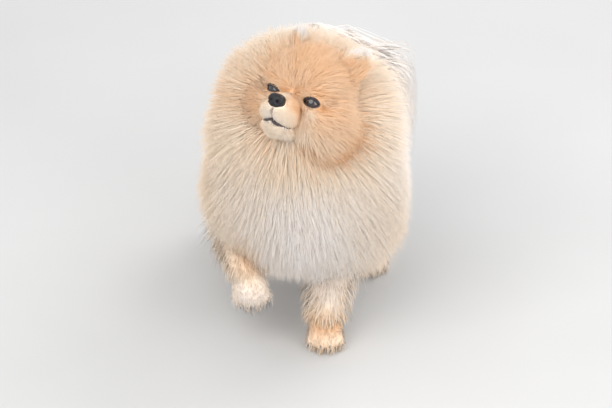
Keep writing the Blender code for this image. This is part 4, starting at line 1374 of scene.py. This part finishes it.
class MakeSkin(bpy.types.Operator):
    """Builds the skin of the whole dog"""

    bl_idname = "pomeranian.skin"
    bl_label = "Skin"

    def execute(self, context):
        tones = context.scene.pomeranian_colours
        coat_material(tones)  # The coat's operators look it up by its name.
        body, head, ears = skin_forms()
        counts = [len(form[0]) for form in (body, head, ears)]
        form = join([body, head, ears])
        part = np.repeat((0.0, 1.0, 2.0), counts)
        places = from_world(form[0])
        normals = point_normals(form[0], triangles(form))
        values = {"part": part, "warmth": warmth(form[0], (part > 0.5) * 1.0)}
        values["bare"] = near_dark(places) * (part == 1.0)
        faces = ear_way(places, EAR_FACES)
        values["pink"] = ramp(np.sum(normals * faces, axis=1), 0.2, 0.6) * (part == 2.0)
        nodes = [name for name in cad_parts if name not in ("eye_left", "eye_right", "nose")]
        finished("skin", form, skin_material(tones), values, nodes)
        return {"FINISHED"}


class MakeEyes(bpy.types.Operator):
    """Builds the eyes and the rims of their lids"""

    bl_idname = "pomeranian.eyes"
    bl_label = "Eyes"

    def execute(self, context):
        glossy = eye_material(context.scene.pomeranian_colours)
        hues = ((0.012, 0.008, 0.009), (0.040, 0.028, 0.032))
        gloss = {"Coat Weight": 0.12, "Coat Roughness": 0.2}
        rim = dark_material("eye_rim", hues, 0.5, 900.0, 0.0002, gloss)
        for name, side in (("left", 1), ("right", -1)):
            form, angle = eye_form(side)
            finished("eyeball_" + name, form, glossy, {"ring": angle}, ["eye_" + name])
        finished("eye_rims", join([lid_form(1), lid_form(-1)]), rim)
        return {"FINISHED"}


class MakeNose(bpy.types.Operator):
    """Builds the nose and the lips"""

    bl_idname = "pomeranian.nose"
    bl_label = "Nose and lips"

    def execute(self, context):
        tones = context.scene.pomeranian_colours
        hues = ((0.006, 0.005, 0.006), (0.022, 0.019, 0.021))
        gloss = {"Specular IOR Level": 0.3, "Coat Weight": 0.15, "Coat Roughness": 0.12}
        leather = dark_material("nose_leather", hues, 0.34, 1500.0, 0.0004, gloss)
        finished("nose_pad", nose_form(), leather, None, ["nose"])
        hues = (tuple(tones.lip), (0.075, 0.048, 0.048))
        lips = dark_material("lips", hues, 0.45, 1100.0, 0.0002)
        finished("lips", lips_form(), lips)
        return {"FINISHED"}


class MakeClaws(bpy.types.Operator):
    """Builds the claws and the pads under the paws"""

    bl_idname = "pomeranian.claws"
    bl_label = "Claws and pads"

    def execute(self, context):
        hues = ((0.30, 0.23, 0.18), (0.46, 0.37, 0.30))
        horn = dark_material("claw", hues, 0.35, 500.0, 0.0001)
        claws = [claw_form(name, x, y) for name in PAWS for x, y in TOES]
        finished("claws", join(claws), horn)
        pads = []
        for name in PAWS:
            spots = [(x, y * 0.86, TOE_LOW - 0.0040) for x, y in TOES]
            pads += [pad_form(name, spot, TOE_PAD_HALF) for spot in spots]
            pads.append(pad_form(name, (0.0, -0.003, -0.0088), PALM_PAD_HALF))
        hues = ((0.030, 0.024, 0.024), (0.070, 0.055, 0.052))
        leather = dark_material("pad", hues, 0.7, 1200.0, 0.0004)
        finished("pads", join(pads), leather)
        return {"FINISHED"}


class GrowBodyCoat(bpy.types.Operator):
    """Grows the long coat of neck and body"""

    bl_idname = "pomeranian.trunk_coat"
    bl_label = "Body coat"

    def execute(self, context):
        grow_trunk_coat(context.scene.pomeranian_coat)
        return {"FINISHED"}


class GrowHeadCoat(bpy.types.Operator):
    """Grows the hair of face, cheeks and crown"""

    bl_idname = "pomeranian.head_coat"
    bl_label = "Head coat"

    def execute(self, context):
        grow_head_coat(context.scene.pomeranian_coat)
        return {"FINISHED"}


class GrowLegCoat(bpy.types.Operator):
    """Grows the hair of legs and paws"""

    bl_idname = "pomeranian.leg_coat"
    bl_label = "Leg coat"

    def execute(self, context):
        grow_leg_coat(context.scene.pomeranian_coat)
        return {"FINISHED"}


class GrowPlume(bpy.types.Operator):
    """Grows the tail's long hair"""

    bl_idname = "pomeranian.tail_coat"
    bl_label = "Plume"

    def execute(self, context):
        grow_tail_coat(context.scene.pomeranian_coat)
        return {"FINISHED"}


class GrowEarCoat(bpy.types.Operator):
    """Grows the hair of the ears"""

    bl_idname = "pomeranian.ear_coat"
    bl_label = "Ear coat"

    def execute(self, context):
        grow_ear_coat(context.scene.pomeranian_coat)
        return {"FINISHED"}


LIT_PLACE = (0.0, 0.0, 0.14)
LOOK_AT = (0.0046, 0.0, 0.1005)
CAMERA_RISE = math.radians(33)
CAMERA_AWAY = 5.0
CAMERA_LENS = 308.0
FLOOR_HALF = 4.0


def area_light(name, place, size, power, colour=(1.0, 1.0, 1.0)):
    """A round soft light that looks at the middle of the dog."""
    light = bpy.data.lights.new(name, "AREA")
    light.shape = "DISK"
    light.size = size
    light.energy = power
    light.color = colour
    obj = bpy.data.objects.new(name, light)
    obj.location = place
    ahead = Vector(LIT_PLACE) - Vector(place)
    obj.rotation_euler = ahead.to_track_quat("-Z", "Y").to_euler()
    bpy.context.scene.collection.objects.link(obj)


class MakeStage(bpy.types.Operator):
    """Builds the pale floor, the studio light and the camera"""

    bl_idname = "pomeranian.stage"
    bl_label = "Stage"

    def execute(self, context):
        points = FLOOR_HALF * np.array([(-1, -1, 0), (1, -1, 0), (1, 1, 0), (-1, 1, 0)])
        floor = new_object("floor", (points, np.array([(0, 1, 2, 3)]), np.zeros((0, 3), int)))
        paint, shader = new_material("floor", 0.7)
        greys = ((0.3, (0.56, 0.55, 0.535)), (0.7, (0.60, 0.59, 0.575)))
        hue = colours(paint, noise(paint, 3.0), greys)
        wire(paint, hue, shader.inputs["Base Color"])
        floor.data.materials.append(paint)
        context.scene.view_settings.view_transform = "Standard"
        world = bpy.data.worlds.new("studio")
        world.use_nodes = True
        sky = world.node_tree.nodes["Background"]
        sky.inputs["Color"].default_value = (0.93, 0.96, 1.0, 1.0)
        sky.inputs["Strength"].default_value = 1.0
        context.scene.world = world
        area_light("key", (-0.7, -1.2, 1.5), 1.8, 19.0, (1.0, 0.98, 0.95))
        area_light("fill", (1.2, -1.2, 0.7), 1.4, 11.0, (0.97, 0.98, 1.0))
        area_light("back", (1.1, 0.9, 1.5), 1.2, 12.0)
        lens = bpy.data.cameras.new("camera")
        lens.lens = CAMERA_LENS
        camera = bpy.data.objects.new("camera", lens)
        back = Vector((0.0, -math.cos(CAMERA_RISE), math.sin(CAMERA_RISE)))
        camera.location = Vector(LOOK_AT) + Vector(SHIFT) + back * CAMERA_AWAY
        camera.rotation_euler = (-back).to_track_quat("-Z", "Y").to_euler()
        context.scene.collection.objects.link(camera)
        context.scene.camera = camera
        return {"FINISHED"}


class PomeranianPanel(bpy.types.Panel):
    """Lists the pieces of the dog"""

    bl_idname = "VIEW3D_PT_pomeranian"
    bl_label = "Pomeranian"
    bl_space_type = "VIEW_3D"
    bl_region_type = "UI"
    bl_category = "Pomeranian"

    def draw(self, context):
        for group in (context.scene.pomeranian_coat, context.scene.pomeranian_colours):
            for key in group.__annotations__:
                self.layout.prop(group, key)
        for operator in OPERATORS:
            self.layout.operator(operator.bl_idname)


OPERATORS = (
    MakeSkin,
    MakeEyes,
    MakeNose,
    MakeClaws,
    GrowBodyCoat,
    GrowHeadCoat,
    GrowLegCoat,
    GrowPlume,
    GrowEarCoat,
    MakeStage,
)
CLASSES = (CoatSettings, CoatColours, *OPERATORS, PomeranianPanel)


def register():
    for kind in CLASSES:
        bpy.utils.register_class(kind)
    bpy.types.Scene.pomeranian_coat = bpy.props.PointerProperty(type=CoatSettings)
    bpy.types.Scene.pomeranian_colours = bpy.props.PointerProperty(type=CoatColours)


def unregister():
    del bpy.types.Scene.pomeranian_coat
    del bpy.types.Scene.pomeranian_colours
    for kind in reversed(CLASSES):
        bpy.utils.unregister_class(kind)


def main():
    register()
    for operator in OPERATORS:
        group, name = operator.bl_idname.split(".")
        getattr(getattr(bpy.ops, group), name)()


if __name__ == "__main__":
    main()
